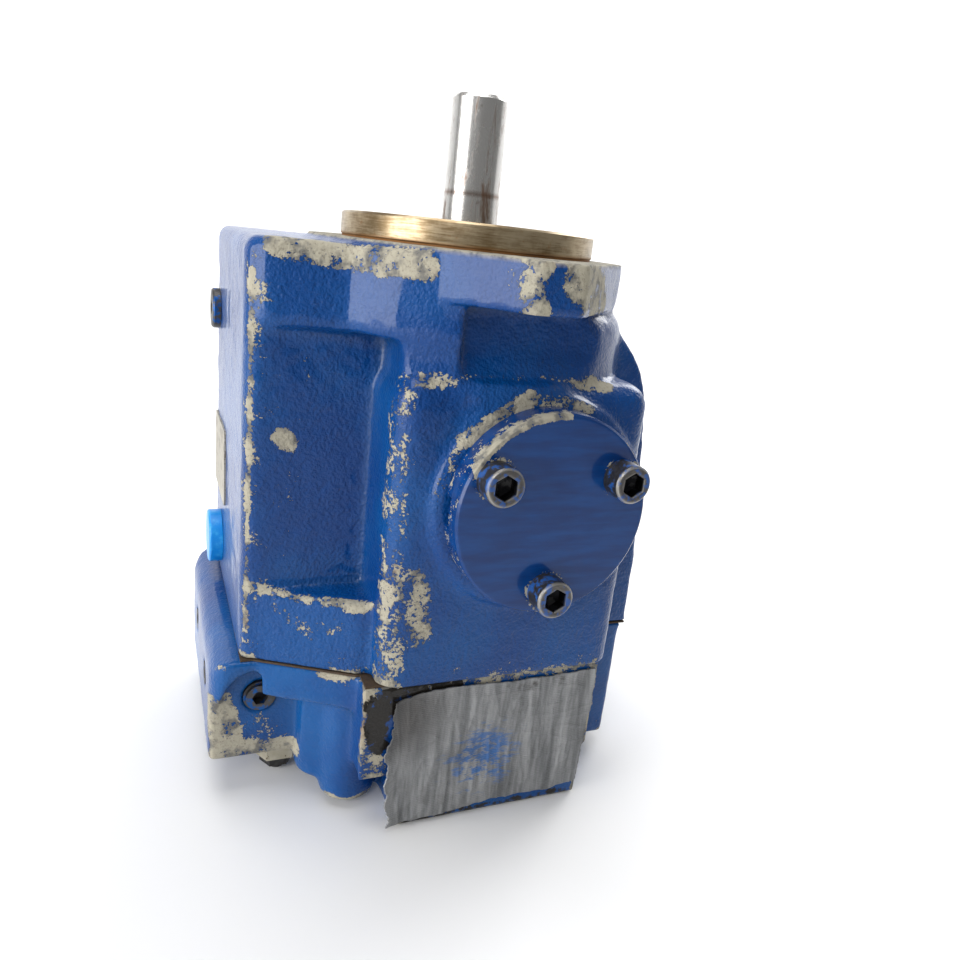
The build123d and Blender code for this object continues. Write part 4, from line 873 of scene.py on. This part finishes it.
shape = bmesh.new()
columns, rows = TAPE_CELLS
grid = []
for row in range(rows + 1):
    v = row / rows
    line = []
    left = tape_low.x + 0.0040 + tape_edge(v, 1.7, 0.0034) + 0.0020 * (1.0 - v)
    right = tape_high.x - 0.0006 + tape_edge(v, 8.3, 0.0018)
    for column in range(columns + 1):
        u = column / columns
        x = left + (right - left) * u
        bottom = tape_low.z + 0.0006 + tape_edge(u, 4.1, 0.0016) + 0.0055 * u
        top = tape_high.z - 0.0004 + tape_edge(u, 6.6, 0.0010) - 0.004 * max(0.0, 0.18 - u) / 0.18
        z = bottom + (top - bottom) * v
        sink = math.hypot(x - TAPE_PORT[0], z - TAPE_PORT[2]) / TAPE_PORT[1]
        sink = max(0.0, 1.0 - sink * sink)
        ridge = 1.0 - abs(noise.noise(Vector((x * 210.0, z * 34.0, 0.0))))
        fine_ridge = 1.0 - abs(noise.noise(Vector((x * 46.0, z * 150.0, 5.0))))
        folds = 0.00050 * ridge**5 + 0.00042 * fine_ridge**6
        puff = 0.00050 * noise.noise(Vector((x * 62.0, z * 62.0, 9.0)))
        loose = max(0.0, 1.0 - u / 0.075)
        curl = 0.0036 * loose * loose * max(0.0, noise.noise(Vector((v * 4.2, 2.0, 7.0))) + 0.35)
        y = tape_high.y - 0.0009 - folds - puff * 0.6 - curl + 0.0016 * sink
        line.append(shape.verts.new((x, min(y, tape_high.y - 0.0002 + 0.0016 * sink), z)))
    grid.append(line)
for row in range(rows):
    for column in range(columns):
        shape.faces.new(
            (grid[row][column], grid[row][column + 1], grid[row + 1][column + 1], grid[row + 1][column])
        )
tape_mesh = mesh_from(shape, "tape_cover")
tape_mesh.shade_smooth()
tape_finish, tree, shader = new_material("tape_cloth")
place = object_place(tree)
parts = add_node(tree, "ShaderNodeSeparateXYZ", inputs={0: place})
weave = []
for axis, spacing in ((0, 0.0011), (2, 0.0017)):
    wave = math_node(tree, "SINE", math_node(tree, "MULTIPLY", parts.outputs[axis], 2 * math.pi / spacing))
    weave.append(math_node(tree, "POWER", math_node(tree, "ABSOLUTE", wave), 3.0))
scrim = math_node(tree, "MAXIMUM", weave[0], weave[1])
streak = stretched(tree, place, (260.0, 60.0, 26.0))
streaks = noise_node(tree, streak, 1.0, 5.0, 0.65)
cloth = mix_colour(tree, smooth_between(tree, streaks, 0.30, 0.72), (0.13, 0.135, 0.14, 1.0),
                   (0.34, 0.345, 0.35, 1.0))
middle = add_node(tree, "ShaderNodeVectorMath", operation="DISTANCE",
                  inputs={0: place, 1: (0.006, -0.060, -0.203)}).outputs["Value"]
rub = stretched(tree, place, (150.0, 60.0, 420.0))
rubbed = noise_node(tree, rub, 1.0, 4.0, 0.7)
blue_here = math_node(tree, "SUBTRACT", 1.0, smooth_between(tree, middle, 0.006, 0.026))
blue_mask = smooth_between(tree, math_node(tree, "ADD", rubbed, scaled(tree, blue_here, 0.20)),
                           0.62, 0.74)
blue_mask = math_node(tree, "MULTIPLY", blue_mask, blue_here)
cloth = mix_colour(tree, scaled(tree, blue_mask, 0.85), cloth, (0.02, 0.13, 0.40, 1.0))
grime = smooth_between(tree, noise_node(tree, place, 62.0, 5.0, 0.7), 0.55, 0.74)
top_band = smooth_between(tree, parts.outputs[2], tape_high.z - 0.022, tape_high.z)
corner = add_node(tree, "ShaderNodeVectorMath", operation="DISTANCE",
                  inputs={0: place, 1: (tape_low.x + 0.008, -0.060, tape_high.z - 0.010)}).outputs["Value"]
corner = math_node(tree, "SUBTRACT", 1.0, smooth_between(tree, corner, 0.006, 0.030))
grime = math_node(tree, "MAXIMUM", math_node(tree, "MULTIPLY", grime, math_node(tree, "ADD", 0.4, top_band)),
                  math_node(tree, "MULTIPLY", corner, math_node(tree, "ADD", 0.35, streaks)), True)
cloth = mix_colour(tree, scaled(tree, grime, 0.8), cloth, (0.035, 0.030, 0.026, 1.0))
tree.links.new(cloth, shader.inputs["Base Color"])
tree.links.new(scaled(tree, streaks, 0.25, 0.34), shader.inputs["Roughness"])
shader.inputs["Metallic"].default_value = 0.25
tape_height = math_node(tree, "ADD", scaled(tree, scrim, 0.5), streaks)
bump_into(tree, shader, tape_height, 0.00022)
tape = new_piece("tape_cover", tape_mesh, tape_finish, "housing", "tape", "inlet_tape")
body = tape.modifiers.new("body", "SOLIDIFY")
body.thickness = TAPE_BODY
body.offset = -1.0

# ---- plugs ----
# Steel socket plugs in the drilled ends of the oil ways, black with oil and part painted.
plug_finish, tree, shader = new_material("plug_steel", Metallic=0.7)
place = object_place(tree)
smear = noise_node(tree, place, 220.0, 5.0, 0.65)
steel = mix_colour(tree, smear, (0.012, 0.012, 0.014, 1.0), (0.13, 0.125, 0.12, 1.0))
steel = mix_colour(tree, smooth_between(tree, smear, 0.56, 0.62), steel, (0.008, 0.085, 0.30, 1.0))
tree.links.new(steel, shader.inputs["Base Color"])
tree.links.new(scaled(tree, smear, 0.35, 0.25), shader.inputs["Roughness"])
bump_into(tree, shader, smear, 0.00010)
for node in ("corner_plug", "flank_plugs", "case_plug", "block_screws"):
    finish_node(node, plug_finish)

# ---- the compensator ----
# The pressure adjuster under the left flank: a yellow zinc plated cartridge with a black
# lock nut on its black adjusting screw.
zinc_finish, tree, shader = new_material("yellow_zinc", Roughness=0.42, Metallic=0.6)
place = object_place(tree)
dull = noise_node(tree, place, 150.0, 5.0, 0.65)
zinc = mix_colour(tree, dull, (0.26, 0.22, 0.13, 1.0), (0.66, 0.62, 0.50, 1.0))
zinc = mix_colour(tree, smooth_between(tree, noise_node(tree, place, 420.0, 4.0, 0.7), 0.60, 0.68), zinc,
                  (0.10, 0.06, 0.035, 1.0))
tree.links.new(zinc, shader.inputs["Base Color"])
bump_into(tree, shader, dull, 0.00010)
finish_node("compensator_housing", zinc_finish)
black_finish, tree, shader = new_material("black_oxide", Roughness=0.4, Metallic=0.7)
place = object_place(tree)
oxide = noise_node(tree, place, 320.0, 4.0, 0.65)
tree.links.new(mix_colour(tree, oxide, (0.008, 0.008, 0.009, 1.0), (0.09, 0.085, 0.08, 1.0)),
               shader.inputs["Base Color"])
bump_into(tree, shader, oxide, 0.00006)
for node in ("compensator_lock_nut", "compensator_screw"):
    finish_node(node, black_finish)

# ---- the drain cap and the name plate ----
# A bright blue plastic shipping cap in the drain port, and a blank dull aluminium plate
# riveted to the left face, its print long gone.
cap_plastic, tree, shader = new_material("blue_plastic", Roughness=0.32)
place = object_place(tree)
scuff = noise_node(tree, place, 260.0, 4.0, 0.6)
tree.links.new(mix_colour(tree, smooth_between(tree, scuff, 0.45, 0.75), (0.006, 0.26, 0.72, 1.0),
                          (0.05, 0.42, 0.82, 1.0)), shader.inputs["Base Color"])
bump_into(tree, shader, scuff, 0.00006)
finish_node("drain_cap", cap_plastic)
plate_finish, tree, shader = new_material("dull_plate", Roughness=0.5, Metallic=0.6)
place = object_place(tree)
brushed = stretched(tree, place, (60.0, 60.0, 2400.0))
brushed = noise_node(tree, brushed, 1.0, 2.0)
spots = smooth_between(tree, noise_node(tree, place, 160.0, 6.0, 0.7), 0.52, 0.60)
plate = mix_colour(tree, brushed, (0.30, 0.28, 0.23, 1.0), (0.52, 0.49, 0.42, 1.0))
plate = mix_colour(tree, scaled(tree, spots, 0.6), plate, (0.12, 0.09, 0.06, 1.0))
tree.links.new(plate, shader.inputs["Base Color"])
bump_into(tree, shader, brushed, 0.00003)
finish_node("name_plate", plate_finish)

# ---- the works inside ----
# Bronze runs against ground steel: shoes, bushes, cage, valve plate and wear plate are
# bronze; barrel, pistons, yoke, races and spools are steel with an oil film.
bronze_finish, tree, shader = new_material("bearing_bronze", Roughness=0.33, Metallic=0.95)
place = object_place(tree)
patina = noise_node(tree, place, 90.0, 5.0, 0.6)
tree.links.new(mix_colour(tree, patina, (0.33, 0.20, 0.08, 1.0), (0.62, 0.44, 0.20, 1.0)),
               shader.inputs["Base Color"])
bump_into(tree, shader, noise_node(tree, place, 1500.0, 2.0), 0.00002)
works_finish, tree, shader = new_material("works_steel", Metallic=1.0)
place = object_place(tree)
film = noise_node(tree, place, 120.0, 5.0, 0.6)
tree.links.new(mix_colour(tree, film, (0.30, 0.29, 0.27, 1.0), (0.56, 0.55, 0.53, 1.0)),
               shader.inputs["Base Color"])
tree.links.new(scaled(tree, film, 0.25, 0.18), shader.inputs["Roughness"])
bump_into(tree, shader, noise_node(tree, place, 1800.0, 2.0), 0.000015)
slots = {part["node"]: part["material_slot"] for part in frame["record"]["subparts"]}
for node, slot_name in slots.items():
    if slot_name == "bronze":
        finish_node(node, bronze_finish)
    elif slot_name == "machined_steel" and node != "shaft":
        finish_node(node, works_finish)

# ---- floor, light and camera ----
# A white floor that curves up into a wall behind the pump, under broad soft lamps, in a room
# that is dim elsewhere, so the paint keeps its depth.
FLOOR_FLAT = 1.3
FLOOR_CURVE = 0.7
FLOOR_RISE = 1.6
WALL_MIDDLE = 69
WALL_HALF = 80
FLOOR_STEP = 4
floor_z = block_low.z
bowl = [(0.001, floor_z), (FLOOR_FLAT, floor_z)]
for turn in (math.radians(a) for a in range(6, 91, 6)):
    out, up = FLOOR_CURVE * math.sin(turn), FLOOR_CURVE * (1 - math.cos(turn))
    bowl.append((FLOOR_FLAT + out, floor_z + up))
bowl.append((FLOOR_FLAT + FLOOR_CURVE, floor_z + FLOOR_RISE))
shape = bmesh.new()
turns = [math.radians(a) for a in range(0, 360, FLOOR_STEP)]
rings = [
    [shape.verts.new((r * math.cos(turn), r * math.sin(turn), h)) for turn in turns]
    for r, h in bowl
]
for number, (low, high) in enumerate(zip(rings, rings[1:])):
    for i in range(len(low)):
        j = (i + 1) % len(low)
        turn_off = abs((i * FLOOR_STEP - WALL_MIDDLE + 180) % 360 - 180)
        if number == 0 or turn_off < WALL_HALF:
            shape.faces.new((low[i], low[j], high[j], high[i]))
shape.faces.new(rings[0])
bmesh.ops.delete(shape, geom=[v for v in shape.verts if not v.link_faces], context="VERTS")
floor_mesh = bpy.data.meshes.new("floor")
shape.to_mesh(floor_mesh)
shape.free()
floor_mesh.shade_smooth()
floor_finish, tree, shader = new_material("white_sweep", Roughness=0.6)
shader.inputs["Base Color"].default_value = (0.86, 0.86, 0.86, 1.0)
floor_mesh.materials.append(floor_finish)
floor = bpy.data.objects.new("floor", floor_mesh)
scene.collection.objects.link(floor)

world = bpy.data.worlds.new("studio")
world.use_nodes = True
world.node_tree.nodes["Background"].inputs["Color"].default_value = (1.0, 1.0, 1.0, 1.0)
world.node_tree.nodes["Background"].inputs["Strength"].default_value = 0.24
scene.world = world


def soft_lamp(name, place, towards, size, power):
    light = bpy.data.lights.new(name, "AREA")
    light.shape = "RECTANGLE"
    light.size, light.size_y = size
    light.energy = power
    lamp = bpy.data.objects.new(name, light)
    lamp.location = place
    lamp.rotation_mode = "QUATERNION"
    lamp.rotation_quaternion = (Vector(towards) - Vector(place)).to_track_quat("-Z", "Y")
    scene.collection.objects.link(lamp)


soft_lamp("overhead", (-0.20, 0.05, 1.15), (0, 0, -0.1), (0.9, 0.9), 11.0)
soft_lamp("left", (-1.20, -0.28, 0.10), (0, 0, -0.1), (0.8, 0.8), 14.0)
soft_lamp("wall_wash", (0.10, 0.35, 1.30), (0.75, 1.95, 0.75), (1.2, 0.4), 34.0)
soft_lamp("left_front", (-0.7, -1.0, 0.75), (0, 0, -0.1), (0.35, 0.5), 4.0)
soft_lamp("right_back", (0.85, 0.5, 0.6), (0, 0, -0.1), (0.5, 0.7), 6.0)

CAMERA_PLACE = (-0.1208, -0.3107, 0.0046)
CAMERA_RIGHT = Vector((0.92126, -0.37436, 0.10554)).normalized()
CAMERA_UP = Vector((0.01808, 0.31228, 0.94982)).normalized()
camera_back = CAMERA_RIGHT.cross(CAMERA_UP)
lens = bpy.data.cameras.new("camera")
lens.lens = 29.3
lens.sensor_width = 36.0
lens.clip_start, lens.clip_end = 0.01, 20.0
camera = bpy.data.objects.new("camera", lens)
scene.collection.objects.link(camera)
turn = Matrix((CAMERA_RIGHT, CAMERA_UP, camera_back)).transposed()
camera.matrix_world = Matrix.Translation(CAMERA_PLACE) @ turn.to_4x4()
scene.camera = camera
scene.view_settings.view_transform = "Standard"
